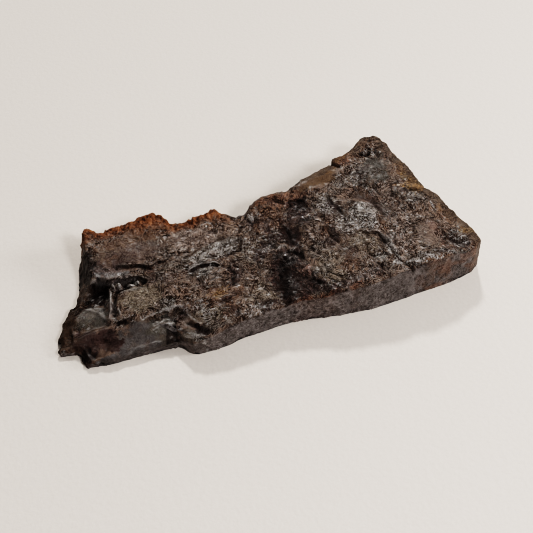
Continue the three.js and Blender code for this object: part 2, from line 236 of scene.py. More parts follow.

# Cracks and furrows: width, depth, how dark the painted shade in the bed is, and the route.
furrows = [
    (0.24, 0.7, 0.8, [(-27.1, 3.0), (-27.5, 1.2), (-28.0, -0.4), (-28.4, -2.2)]),
    (0.16, 0.3, 0.5, [(-26.9, 0.2), (-27.1, -1.0), (-26.9, -2.4)]),
    (0.3, 0.6, 0.9, [(-27.2, 3.6), (-25.6, 3.4), (-24.0, 3.5)]),
    (0.3, 0.6, 1.0, [(-25.2, 5.3), (-25.1, 4.4), (-25.0, 3.8)]),
    (0.25, 0.4, 0.7, [(-29.0, 2.4), (-29.4, 0.9), (-30.4, 0.2)]),
    (0.5, 0.4, 0.8, [(-19.7, -6.9), (-19.6, -8.8), (-19.2, -11.2)]),
    (0.36, 0.35, 0.85, [(-17.3, -7.5), (-16.7, -8.4), (-16.1, -9.3), (-15.4, -10.5)]),
    (0.7, 0.35, 0.85, [(-15.8, -9.7), (-15.2, -10.8), (-14.7, -12.0)]),
    (0.15, 0.2, 1.0, [(-17.8, -5.2), (-17.2, -5.3), (-16.7, -5.5)]),
    (0.4, 0.3, 0.4, [(-34.4, -5.4), (-34.2, -6.8), (-33.6, -8.0), (-32.4, -8.3), (-31.2, -7.6),
        (-30.9, -6.2), (-31.6, -5.2)]),
    (0.18, 0.25, 0.9, [(24.3, 9.4), (24.4, 8.0), (24.7, 6.9)]),
    (0.3, 0.5, 1.0, [(20.4, -2.8), (20.5, -4.2), (20.8, -5.6)]),
    (0.18, 0.3, 0.9, [(20.7, -5.2), (20.8, -8.1), (20.9, -10.0), (21.4, -11.8)]),
    (0.16, 0.2, 0.6, [(21.6, -3.0), (22.1, -5.4), (21.9, -7.8)]),
    (0.12, 0.2, 0.6, [(17.2, -2.2), (16.9, -4.0), (16.6, -6.0), (17.3, -8.0), (17.9, -9.6)]),
    (0.3, 0.3, 0.9, [(16.6, -8.2), (17.3, -9.6), (17.4, -11.2)]),
    (0.3, 0.3, 0.8, [(15.3, 9.2), (15.7, 7.4), (16.2, 5.4), (16.1, 3.6), (16.5, 1.8)]),
    (0.26, 0.3, 0.7, [(12.0, 2.6), (12.0, 1.0), (12.3, -0.8), (12.9, -2.8)]),
    (0.25, 0.2, 0.9, [(30.8, -5.4), (32.0, -6.0), (32.8, -7.4)]),
    (0.25, 0.3, 0.9, [(-11.9, 0.9), (-11.3, 0.7), (-10.9, 1.0)]),
    (0.2, 0.25, 0.8, [(2.2, -1.2), (3.4, -1.7), (4.8, -1.2), (5.8, -2.6), (6.2, -4.2)]),
    (0.14, 0.2, 0.25, [(26.5, 5.2), (27.6, 5.0), (28.2, 4.5), (27.8, 3.4), (27.3, 2.4), (26.9, 1.6)]),
    (1.5, 0.6, 0.3, [(19.4, 9.6), (21.6, 7.0), (23.6, 4.0), (23.2, 1.8), (22.6, -0.6)]),
    (0.3, 0.4, 0.6, [(-7.0, 0.3), (-6.7, -1.2), (-7.0, -2.6), (-7.7, -4.2)]),
    (0.3, 0.4, 0.7, [(-11.2, -6.6), (-9.8, -6.2), (-8.4, -6.1)]),
    (0.35, 0.5, 0.8, [(-8.5, -8.6), (-8.7, -9.6), (-9.2, -10.8)]),
    (0.9, 0.45, 0.5, [(2.4, -1.2), (1.9, -3.4), (1.0, -5.6), (-0.2, -7.8), (-0.4, -9.4), (0.4, -11.6)]),
    (0.3, 0.3, 0.7, [(5.4, 4.8), (5.6, 3.2), (5.4, 1.8), (5.8, 0.4)]),
    (0.14, 0.25, 0.5, [(-8.4, 1.4), (-7.6, 0.7), (-6.8, 0.0), (-6.1, -1.0)]),
    (0.4, 0.4, 0.8, [(3.0, -0.2), (4.4, -0.6), (5.4, -1.8), (5.6, -3.4)]),
    (0.4, 0.35, 0.6, [(3.4, -6.4), (5.0, -6.6), (6.2, -8.2), (6.8, -9.8)]),
    (0.18, 0.3, 0.5, [(-0.1, 11.4), (-0.2, 9.8), (0.4, 8.4)]),
    (0.25, 0.4, 0.6, [(1.6, 10.8), (1.2, 9.6), (0.9, 8.2)]),
    (0.5, 0.5, 0.7, [(5.8, 12.9), (6.0, 11.6), (7.4, 10.8)]),
    (0.35, 0.8, 0.9, [(18.9, 17.2), (19.7, 16.4), (20.8, 15.9)]),
    (0.5, 0.35, 0.9, [(30.8, -6.0), (31.8, -8.0), (33.2, -9.6)]),
    (0.35, 0.3, 0.8, [(32.4, -6.2), (33.5, -8.0), (34.2, -9.8)]),
    (0.4, 0.4, 0.6, [(30.4, -9.6), (30.2, -8.6), (31.2, -7.6)]),
    (0.32, 0.5, 1.0, [(25.4, 18.3), (26.6, 17.5), (27.7, 17.8)]),
    (0.3, 0.4, 0.9, [(28.5, 18.0), (28.8, 16.9), (28.9, 15.8)]),
    (0.3, 0.6, 0.7, [(21.3, -11.0), (21.9, -12.2), (22.4, -13.6)]),
    (0.2, 0.4, 0.6, [(22.7, -11.6), (22.8, -12.4), (23.4, -13.2)]),
    (0.35, 0.4, 0.6, [(16.2, -6.2), (17.4, -7.4), (19.0, -7.8), (20.0, -9.0)]),
    (0.2, 0.25, 0.8, [(-10.4, 3.9), (-9.0, 3.6), (-7.8, 3.3)]),
    (0.2, 0.25, 0.8, [(-6.9, 3.4), (-6.0, 3.2), (-5.2, 2.8)]),
]

# Thin ridges: width, rise, how pale the painted highlight on the crest is, and the route.
ridges = [
    (0.24, 1.1, 1.0, [(-27.4, 5.2), (-27.8, 3.4), (-28.2, 1.6), (-28.6, -0.2), (-29.1, -1.8),
        (-29.9, -2.8)]),
    (0.2, 0.4, 0.8, [(-27.3, -0.6), (-27.3, -1.6), (-27.6, -2.6)]),
    (0.16, 0.1, 0.4, [(-28.4, -9.0), (-26.4, -8.7), (-24.6, -8.9)]),
    (0.14, 0.1, 0.6, [(-23.9, -8.7), (-22.8, -8.8), (-22.0, -9.1)]),
    (0.25, 0.35, 0.25, [(-34.4, 3.6), (-35.3, 1.6), (-35.6, -0.6), (-35.9, -2.8), (-36.6, -4.6)]),
    (0.16, 0.2, 1.0, [(-24.6, -4.6), (-22.6, -4.1), (-20.2, -3.7), (-18.2, -3.9), (-16.6, -4.5)]),
    (0.3, 0.2, 0.4, [(-31.0, 7.0), (-29.4, 6.8), (-27.0, 6.5), (-24.2, 6.1), (-22.0, 5.3)]),
    (0.4, 0.35, 0.7, [(-26.6, 2.8), (-24.6, 2.6), (-22.2, 2.2)]),
    (0.7, 0.25, 0.3, [(-12.0, 3.4), (-8.6, 4.6), (-5.4, 6.0), (-3.4, 6.8)]),
    (0.34, 0.45, 0.9, [(-32.8, 3.2), (-31.7, 2.4), (-30.7, 1.4), (-30.0, 0.2)]),
    (0.25, 0.15, 0.5, [(-34.6, -2.5), (-33.0, -2.7), (-31.0, -2.8), (-29.4, -2.4)]),
    (0.4, 0.25, 0.5, [(21.6, -3.0), (21.5, -5.2), (21.2, -7.4), (21.4, -9.6)]),
    (0.25, 0.15, 0.6, [(20.6, -2.4), (21.0, -4.4), (20.8, -6.2)]),
    (0.3, 0.25, 0.5, [(-33.2, 3.0), (-32.0, 1.6), (-30.8, 0.4), (-30.2, -1.2), (-29.2, -2.2)]),
    (0.2, 0.15, 0.6, [(-14.0, 2.4), (-12.6, 2.9), (-11.2, 3.2), (-9.6, 3.0)]),
    (0.4, 0.3, 0.6, [(2.0, 0.4), (3.2, 1.2), (4.4, 1.0)]),
    (0.3, 0.25, 0.4, [(3.0, -1.6), (4.2, -2.0), (4.6, -3.4)]),
]

# Swells and hollows: centre, half length, half breadth, turn in degrees, rise.
swells = [
    (20.0, 2.2, 3.6, 2.4, 65, 0.5), (-26.9, 4.6, 0.34, 0.9, 0, 1.5), (-26.1, 4.4, 0.36, 0.8, 10, 1.4),
    (-22.6, 4.2, 0.5, 0.7, 25, 0.9), (-24.0, 4.2, 0.5, 0.6, 0, 0.5), (-29.9, 0.9, 0.7, 0.5, 30, 0.35),
    (-18.9, -5.9, 0.4, 0.35, 40, 0.45), (-29.9, -2.3, 0.8, 0.35, 25, 0.35),
    (-33.6, 2.6, 0.5, 0.4, 0, 0.4), (-20.0, -6.5, 0.6, 0.35, -30, 0.45), (-21.6, -5.8, 1.3, 0.4, 15, 0.3),
    (27.2, 17.2, 1.4, 0.8, 20, -0.3), (33.0, -8.4, 1.4, 1.6, 30, -0.2), (-4.4, 6.2, 1.6, 0.7, 20, 0.3),
    (-32.3, 4.1, 0.4, 0.35, 0, 0.5), (30.6, 2.0, 2.4, 2.0, 60, 0.4), (13.6, 4.8, 1.6, 1.2, 70, 0.25),
    (-11.0, 0.2, 2.0, 1.0, 0, 0.3), (8.4, 2.6, 1.6, 2.2, 0, 0.35), (17.4, -4.4, 1.4, 2.2, 20, 0.15),
    (-16.2, 16.0, 1.8, 1.2, 0, 0.3), (-5.8, 13.0, 1.6, 1.2, 0, 0.25), (-28.2, 17.0, 0.9, 0.7, 0, 0.5),
    (-11.2, 1.2, 0.5, 0.35, 20, 0.4), (6.2, 3.2, 1.4, 2.6, 0, -0.3), (-9.8, 13.9, 0.4, 0.6, 0, -0.7),
]

# Pits with steep walls: centre, half length, half breadth, turn in degrees, height of the floor, slope of
# the wall.
pits = [
    (-29.3, 4.2, 1.2, 1.9, -14, 1.2, 3.5), (-31.2, 3.6, 1.4, 1.2, 20, 1.2, 1.6),
]


# Points along a chain of straight runs, evenly spaced by length.
def evenly(side, divisions):
    side = np.array(side, float)
    lengths = np.concatenate([[0], np.cumsum(np.hypot(*np.diff(side, axis=0).T))])
    wanted = np.linspace(0, lengths[-1], divisions + 1)
    return np.stack([np.interp(wanted, lengths, side[:, k]) for k in (0, 1)], 1)


# Nearest point of a chain of runs to each x, y: the distance, how far along the chain it lies from 0 to 1,
# and the side, positive to the right of the route.
def nearestOn(route, x, y):
    route = np.array(route, float)
    runs = np.diff(route, axis=0)
    lengths = np.hypot(*runs.T)
    starts = np.concatenate([[0], np.cumsum(lengths)])
    best = np.full(x.shape, 1e9)
    fraction = np.zeros(x.shape)
    side = np.zeros(x.shape)
    for k, (run, length) in enumerate(zip(runs, lengths)):
        dx = x - route[k, 0]
        dy = y - route[k, 1]
        t = np.clip((dx * run[0] + dy * run[1]) / length ** 2, 0, 1)
        gap = np.hypot(dx - t * run[0], dy - t * run[1])
        nearer = gap < best
        best = np.where(nearer, gap, best)
        fraction = np.where(nearer, (starts[k] + t * length) / starts[-1], fraction)
        side = np.where(nearer, np.sign(dx * run[1] - dy * run[0]), side)
    return best, fraction, side


# Place in a turned ellipse: the way from its centre along each of its own axes, as a share of that half axis,
# so that the two squares add up to 1 on the ellipse.
def inEllipse(x, y, cx, cy, halfLength, halfBreadth, turn):
    c, s = math.cos(math.radians(turn)), math.sin(math.radians(turn))
    return ((x - cx) * c + (y - cy) * s) / halfLength, ((y - cy) * c - (x - cx) * s) / halfBreadth


# Points in the plane z = 0, for noise that depends on the plan alone.
def flatPoints(x, y):
    return np.stack([x, y, np.zeros_like(x)], 1)


# Average of the spot heights, each weighted by a bell that falls with its distance.
def relief(x, y):
    squared = (x[:, None] - spotHeights[:, 0]) ** 2 + (y[:, None] - spotHeights[:, 1]) ** 2
    weight = np.exp(-squared / (2 * slab["reliefReach"] ** 2)) + 1e-9
    return (weight * spotHeights[:, 2]).sum(1) / weight.sum(1)


# Fades to nothing at both ends of a route.
def taper(fraction):
    return smoothStep(0, 0.15, fraction) * smoothStep(0, 0.15, 1 - fraction)


# The plan pushed about a little, so that no route runs dead straight, and less so at the thin end's ridge.
def wobbled(x, y):
    flat = flatPoints(x, y)
    push = slab["wobble"] - 0.22 * np.exp(-((x + 28.4) / 2.4) ** 2 - ((y - 1) / 4) ** 2)
    return (x + push * fractal(flat, slab["wobbleSize"], 2, 0.5, 41),
            y + push * fractal(flat, slab["wobbleSize"], 2, 0.5, 51))


# Painted shade and painted highlights along the routes: a scarp gets painted shade at its foot and a painted
# highlight along its lip, a furrow painted shade in its bed, a ridge a painted highlight along its crest.
def lineWork(x, y):
    wx, wy = wobbled(x, y)
    uneven = 0.45 + 0.75 * smoothStep(-0.5, 0.5, fractal(flatPoints(x, y), 1.6, 3, 0.6, 71))
    dark = np.zeros_like(x)
    pale = np.zeros_like(x)
    for _, wall, _, darkness, paleness, foot, route in scarps:
        gap, fraction, side = nearestOn(route, wx, wy)
        signed = gap * side
        below = smoothStep(-0.22, -0.12, signed)
        line = below * smoothStep(0.42 * uneven, 0.2 * uneven, signed)
        face = below * smoothStep(wall + foot, wall * 0.6, signed)
        lip = smoothStep(-0.5, -0.34, signed) * smoothStep(-0.1, -0.2, signed)
        dark = np.maximum(dark, darkness * np.maximum(line, 0.8 * uneven * face) * taper(fraction))
        pale = np.maximum(pale, paleness * lip * taper(fraction))
    for width, _, darkness, route in furrows:
        gap, fraction, _ = nearestOn(route, wx, wy)
        bed = np.exp(-(gap / np.maximum(0.9 * width * uneven, 0.14)) ** 2)
        dark = np.maximum(dark, darkness * bed * taper(fraction))
    for width, _, paleness, route in ridges:
        gap, fraction, _ = nearestOn(route, wx, wy)
        pale = np.maximum(pale, paleness * np.exp(-(gap / (0.8 * width)) ** 2) * taper(fraction))
    return dark, pale


# Height of the upper face: relief, less the scarps and furrows, plus the ridges and swells, planed down
# towards the worn rims and the thin end.
def topHeight(x, y):
    z = relief(x, y)
    wx, wy = wobbled(x, y)
    for depth, wall, reach, _, _, _, route in scarps:
        gap, fraction, side = nearestOn(route, wx, wy)
        signed = gap * side
        cliff = np.clip(signed / wall, 0, 1) * np.exp(-(np.maximum(signed, 0) / reach) ** 2)
        z = z - depth * cliff * taper(fraction)
    for width, depth, _, route in furrows:
        gap, fraction, _ = nearestOn(route, wx, wy)
        z = z - depth * np.exp(-(gap / width) ** 2) * taper(fraction)
    for width, rise, _, route in ridges:
        gap, fraction, _ = nearestOn(route, wx, wy)
        z = z + rise * np.exp(-(gap / width) ** 1.4) * taper(fraction)
    for *ellipse, rise in swells:
        u, v = inEllipse(wx, wy, *ellipse)
        z = z + rise * np.exp(-(u * u + v * v))
    for *ellipse, floor, wall in pits:
        u, v = inEllipse(wx, wy, *ellipse)
        beyond = np.maximum(np.sqrt(u * u + v * v) - 1, 0) * min(ellipse[2:4])
        z = np.minimum(z, floor + wall * beyond)
    rim = np.minimum.reduce([nearestOn(side, x, y)[0] for side in (frontSide, backSide, thickSide)])
    drop = slab["rimDrop"] * (1 + 0.8 * fractal(flatPoints(x, y), 3.0, 3, 0.6, 21))
    z = np.minimum(z, z - drop + slab["rimSlope"] * rim)
    foot = np.interp(y, thinWall[:, 0], thinWall[:, 1])
    slope = np.interp(y, thinWall[:, 0], thinWall[:, 2])
    return np.minimum(z, foot + slope * nearestOn(thinSide, x, y)[0])


# Plan of the slab: each grid point is blended between the four sides (a Coons patch).
def planGrid(columns, rows):
    front, back = evenly(frontSide, columns), evenly(backSide, columns)
    thin, thick = evenly(thinSide, rows), evenly(thickSide, rows)
    u = np.linspace(0, 1, columns + 1)[:, None, None]
    v = np.linspace(0, 1, rows + 1)[None, :, None]
    corners = ((1 - u) * (1 - v) * front[0] + u * (1 - v) * front[-1]
               + (1 - u) * v * back[0] + u * v * back[-1])
    return ((1 - v) * front[:, None] + v * back[:, None]
            + (1 - u) * thin[None] + u * thick[None] - corners)


# Indices of a grid's border, once round from the thin end's foot: front, thick end, back, thin end.
def borderOf(columns, rows):
    i = np.concatenate([np.arange(columns), np.full(rows, columns),
                        np.arange(columns, 0, -1), np.zeros(rows, int)])
    j = np.concatenate([np.zeros(columns, int), np.arange(rows),
                        np.full(columns, rows), np.arange(rows, 0, -1)])
    return i * (rows + 1) + j


# Quads of a grid whose points are numbered column by column from the first number.
def gridFaces(columns, rows, first):
    index = first + np.arange((columns + 1) * (rows + 1)).reshape(columns + 1, rows + 1)
    return np.stack([index[:-1, :-1], index[1:, :-1], index[1:, 1:], index[:-1, 1:]], -1).reshape(-1, 4)


# The closed surface before its fine relief: an upper sheet, walls that drop from its rim to the foot
# line, and a coarser underside, sewn to the foot line with a thin triangle for each point that it skips.
def slabSurface():
    columns, rows, wallRows, step = (slab[k] for k in ("columns", "rows", "wallRows", "underStep"))
    plan = planGrid(columns, rows).reshape(-1, 2)
    top = np.column_stack([plan, topHeight(plan[:, 0], plan[:, 1])])
    border = borderOf(columns, rows)
    around = len(border)
    levels = np.linspace(1, 0, wallRows + 1)[1:]
    walls = np.repeat(top[border][None], wallRows, 0)
    walls[:, :, 2] *= levels[:, None]
    under = flatPoints(*planGrid(columns // step, rows // step).reshape(-1, 2).T)
    points = np.concatenate([top, walls.reshape(-1, 3), under])
    firstWall = len(top)
    firstUnder = firstWall + wallRows * around
    wallLoops = firstWall + np.arange(wallRows * around).reshape(wallRows, around)
    loops = np.concatenate([border[None], wallLoops])
    nextLoops = np.roll(loops, -1, 1)
    wallFaces = np.stack([loops[:-1], loops[1:], nextLoops[1:], nextLoops[:-1]], -1).reshape(-1, 4)
    underFaces = gridFaces(columns // step, rows // step, firstUnder)[:, ::-1]
    underBorder = firstUnder + borderOf(columns // step, rows // step)
    # the underside's border points are every so many points of the foot line
    foot = loops[-1]
    corner = foot[::step]
    same = np.arange(len(points))
    same[underBorder] = corner
    quads = same[np.concatenate([gridFaces(columns, rows, 0), wallFaces, underFaces])]
    sewn = np.concatenate([np.stack([corner, np.roll(foot, -k - 1)[::step], np.roll(foot, -k)[::step]], -1)
                           for k in range(1, step)])
    keep = np.ones(len(points), bool)
    keep[underBorder] = False
    renumber = np.cumsum(keep) - 1
    return points[keep], renumber[quads], renumber[sewn]


# A grid blurred along one axis with a bell of the given spread in cells, its edge values repeated outwards.
def blurred(grid, spread, axis):
    reach = int(3 * spread)
    bell = np.exp(-0.5 * (np.arange(-reach, reach + 1) / spread) ** 2)
    padding = [(reach, reach) if k == axis else (0, 0) for k in (0, 1)]
    padded = np.pad(grid, padding, mode="edge")
    return sum(weight * np.take(padded, np.arange(grid.shape[axis]) + k, axis)
               for k, weight in enumerate(bell / bell.sum()))


# How far the upper sheet stands above its own blur, in millimetres: negative in hollows and at the foot of
# cliffs, and 0 on the walls and the underside.
def proudness(points):
    columns, rows = slab["columns"], slab["rows"]
    lengthwise, crosswise = slab["proudBlur"]
    height = points[:(columns + 1) * (rows + 1), 2].reshape(columns + 1, rows + 1)
    proud = np.zeros(len(points))
    proud[:height.size] = (height - blurred(blurred(height, lengthwise, 0), crosswise, 1)).ravel()
    return proud


# Unit normals at the points: the sum of the cross products of the faces around each.
def pointNormals(points, quads):
    across = np.cross(points[quads[:, 2]] - points[quads[:, 0]], points[quads[:, 3]] - points[quads[:, 1]])
    normals = np.zeros_like(points)
    for k in range(4):
        for axis in range(3):
            normals[:, axis] += np.bincount(quads[:, k], across[:, axis], len(points))
    return normals / np.maximum(np.linalg.norm(normals, axis=1, keepdims=True), 1e-9)


# How far each point lies inside a list of patches, each a soft ellipse with a frayed edge:
# centre, half length, half breadth, turn in degrees, strength.
def patchAmount(points, patches, fray=0.9, seed=23):
    x = points[:, 0] + fray * fractal(points, 2.6, 4, 0.65, seed)
    y = points[:, 1] + fray * fractal(points, 2.6, 4, 0.65, seed + 9)
    amount = np.zeros(len(points))
    broken = 0.5 * fractal(points, 1.2, 4, 0.7, seed + 5)
    for *ellipse, strength in patches:
        u, v = inEllipse(x, y, *ellipse)
        inside = smoothStep(1.3, 0.55, np.sqrt(u * u + v * v))
        frayed = inside + broken * inside * (1.4 - inside)
        amount = np.maximum(amount, strength * smoothStep(0.2, 0.75, frayed))
    return amount


# What a user would change on the rusty crust and the worn rims.  Lengths in millimetres.
crust = {
    "reach": 2.9, "reachVaries": 1.2, "ends": (-1.5, -5.0),
    "bulges": ((-19, 3.2, 1.6), (-8, 2, 0.8)),  # along x: middle, spread, how much further the rust reaches
    "corner": (-29.6, 16.4), "cornerReach": (3.4, 1.6), "cornerStrength": 0.8,
    "wornDown": 0.45, "wornHeights": (0.5, 4.0),
    "rimReach": (2.4, 0.8), "rimFray": 0.8,
}


# How rusty each point is: strong along the back rim of the thin half and round its corner, and broken up
# towards the foot of the wall.
def rustAmount(points):
    x, y, z = points.T
    reach = crust["reach"] + crust["reachVaries"] * fractal(points, 3.0, 4, 0.65, 31)
    for middle, spread, further in crust["bulges"]:
        reach = reach + further * hump(x, middle, spread)
    rim = smoothStep(reach, reach * 0.3, nearestOn(backSide, x, y)[0]) * smoothStep(*crust["ends"], x)
    cornerX, cornerY = crust["corner"]
    away = np.hypot((x - cornerX) * 1.3, y - cornerY) + 0.8 * fractal(points, 1.8, 3, 0.6, 291)
    corner = crust["cornerStrength"] * smoothStep(*crust["cornerReach"], away)
    height = z + 3.0 * fractal(points, 2.4, 3, 0.65, 293)
    kept = crust["wornDown"] + (1 - crust["wornDown"]) * smoothStep(*crust["wornHeights"], height)
    return np.clip(np.maximum(rim, corner) * kept, 0, 1)


# How worn each point is: strong along the thick end's rim and the back rim of the thick half.
def wornAmount(points):
    x, y, _ = points.T
    behind = nearestOn(backSide, x, y)[0] + 9 * smoothStep(13, 10, x)
    edge = np.minimum(nearestOn(thickSide, x, y)[0] - 0.4, behind)
    return smoothStep(*crust["rimReach"], edge + crust["rimFray"] * fractal(points, 1.8, 3, 0.6, 171))


# where the fine relief is calm
calmPatches = [
    (-23.2, 0.2, 4.2, 3.2, 0, 0.4), (-17.5, -10.8, 2.0, 0.8, -42, 0.9), (-9.0, -4.0, 4.0, 2.0, 0, 0.3),
    (15.0, -5.0, 5.0, 5.0, 0, 0.2), (-22.0, 10.8, 7.0, 3.4, 0, 0.7), (-11.0, 9.4, 4.4, 2.6, 0, 0.4),
    (-24.8, -7.0, 6.0, 2.6, 0, 1.0), (15.0, 14.0, 5.4, 1.8, 20, 0.9), (-31.8, -0.4, 3.4, 3.2, 0, 0.9),
    (-9.0, 4.8, 5.4, 2.0, 4, 0.2), (27.0, 12.4, 3.6, 3.6, 0, 0.45), (-33.0, -5.2, 4.8, 3.6, 0, 1.0),
    (-17.4, -9.4, 1.6, 3.4, -22, 0.9), (6.4, 3.0, 1.2, 2.4, 0, 0.8), (-37.0, 0.0, 2.0, 4.4, -20, 0.7),
    (28.2, -6.4, 1.6, 2.6, 0, 0.6), (-30.9, 10.4, 1.6, 6.4, 0, 0.7), (-27.4, -9.0, 8.0, 1.8, 0, 1.0),
    (22.0, 6.4, 1.4, 2.2, 20, 0.4), (29.2, -5.4, 1.2, 2.0, 0, 0.8), (-26.6, 7.2, 3.0, 0.8, -6, 0.8),
]


# Points squeezed along x or y, so that noise on them is stretched that way.
def squeezed(points, alongX, alongY):
    return points * [alongX, alongY, 1.0]


# Rounded lumps with sharp creases between them: the size of smooth noise, 0 in a crease and about 1 on a
# crest.
def lumps(points, size, seed):
    return np.minimum(2.4 * np.abs(smoothNoise(points, size, seed)), 1.3)


# Sparse cracks from 0 to 1: thin lines where one noise crosses its middle value, kept where another is high.
def sparseCracks(points, grained, size, width, whereSize, whereLow, seed):
    line = smoothStep(width, 0.0, np.abs(smoothNoise(grained, size, seed)))
    return line * smoothStep(whereLow, 0.35, smoothNoise(points, whereSize, seed + 1))


# Fine relief along the normals, how near the crest each point is, and how gritty: hackle in three sizes on
# the broken face, lengthwise on the thin half and crosswise on the thick half, calmer in some patches and in
# the dark lines, and a lumpy crust with pores along the rusty rim.
def fineRelief(points, normals, dark, pale, rust, worn, calmed):
    x = points[:, 0]
    up = smoothStep(0.3, 0.7, normals[:, 2])
    side = 1 - up
    push = np.stack([fractal(points, slab["warpSize"], 2, 0.5, 60 + k) for k in range(3)], 1)
    warped = points + slab["warp"] * push
    thick = smoothStep(-3, 8, x + 1.5 * fractal(points, 5.0, 2, 0.5, 64))
    grained = squeezed(warped, 1.0, 0.6) * thick[:, None] + squeezed(warped, 0.5, 1.0) * (1 - thick)[:, None]
    calm = np.maximum(calmed, 0.45 * worn * smoothStep(0, 12, x))
    rough = 0.5 + 0.5 * smoothStep(-0.3, 0.5, fractal(points, 4.5, 2, 0.5, 33))
    rough = rough * (1 - 0.8 * calm) * (1 - 0.8 * dark)
    hackle = [lumps(grained, size, 80 + k) for k, size in enumerate(slab["hackleSizes"])]
    coarse, middling, fine = hackle
    level = slab["lumpMiddle"]
    lift = up * rough * sum(height * (lump - level) for height, lump in zip(slab["hackleHeights"], hackle))
    broad = slab["broadSwell"] * fractal(points, slab["broadSwellSize"], 2, 0.5, 37)
    narrow = slab["fineSwell"] * (1 - 0.6 * calm) * fractal(grained, slab["fineSwellSize"], 2, 0.5, 47)
    lift += up * (broad + narrow)
    lift += slab["facetHeight"] * up * rough * facets(warped, slab["facetSize"], 5)
    # longer cracks, and shorter wrinkles between them
    cracked = sparseCracks(points, grained, slab["crackSize"], 0.07, 3.4, 0.05, 57)
    wrinkled = sparseCracks(points, grained, slab["wrinkleSize"], 0.09, 2.6, 0.1, 67)
    cracked = np.maximum(cracked, 0.6 * wrinkled) * (1 - calm)
    lift -= up * slab["crackDepth"] * cracked
    # the walls: broad swells, chips and the finest hackle
    chips = lumps(warped, slab["chipSize"], 95)
    lift += side * (slab["wallSwell"] * fractal(points, slab["wallSwellSize"], 4, 0.6, 90)
                    + slab["chipHeight"] * (chips - level) + slab["wallHackle"] * (fine - level))
    crest = (0.5 + 0.2 * calm + (1 - calm) * (0.04 * coarse + 0.14 * middling + 0.22 * fine)) * (1 - cracked)
    pocks = smoothStep(0.12, 0.4, smoothNoise(points, 0.6, 96))
    crest = up * crest + side * (0.55 + 0.12 * chips + 0.2 * fine - 0.3 * pocks)
    # the rusty crust and its pores
    nearest, _, _ = cells(points, slab["poreSize"], 11)
    pores = smoothStep(0.5, 0.25, nearest + 0.3 * smoothNoise(points, 1.2, 12))
    lumpy = slab["crustHeight"] * fractal(points, slab["crustSize"], 4, 0.65, 70)
    lift += rust * (lumpy - slab["poreDepth"] * pores)
    crest = crest * (1 - rust) + rust * (0.8 - 0.45 * pores)
    grit = (up + 0.5 * side) * (1 - 0.75 * calm) * (1 - 0.55 * rust) * (1 - 0.6 * pale)
    # nicks along the foot of the walls, and a rougher thin end
    foot = smoothStep(1.0, 0.0, points[:, 2]) * side
    lift -= slab["nickDepth"] * foot * smoothStep(0.1, 0.5, fractal(points, slab["nickSize"], 3, 0.6, 97))
    lift += slab["thinEndRough"] * side * smoothStep(-29, -31, x) * fractal(points, 1.5, 3, 0.65, 99)
    return lift * np.where(normals[:, 2] < -0.5, slab["underShare"], 1.0), crest, grit


# Colours of the skin, linear red, green and blue.
skinColours = {
    "black": (0.009, 0.005, 0.004), "umber": (0.055, 0.036, 0.025), "brown": (0.104, 0.066, 0.047),
    "mauve": (0.066, 0.043, 0.037), "olive": (0.158, 0.122, 0.088), "rust": (0.165, 0.057, 0.020),
    "rustBorder": (0.125, 0.062, 0.034), "tan": (0.080, 0.045, 0.023), "ochre": (0.150, 0.088, 0.030),
    "maroon": (0.022, 0.010, 0.008), "pale": (0.138, 0.095, 0.075), "grey": (0.098, 0.078, 0.064),
    "redBrown": (0.118, 0.056, 0.034), "wall": (0.090, 0.077, 0.074), "pink": (0.150, 0.085, 0.066),
    "slate": (0.042, 0.035, 0.028), "paintedGlint": (0.240, 0.225, 0.215), "wine": (0.034, 0.017, 0.014),
    "bark": (0.034, 0.018, 0.010), "worn": (0.066, 0.044, 0.030), "russet": (0.092, 0.047, 0.026),
    "ash": (0.052, 0.044, 0.042), "gold": (0.150, 0.076, 0.026),
}

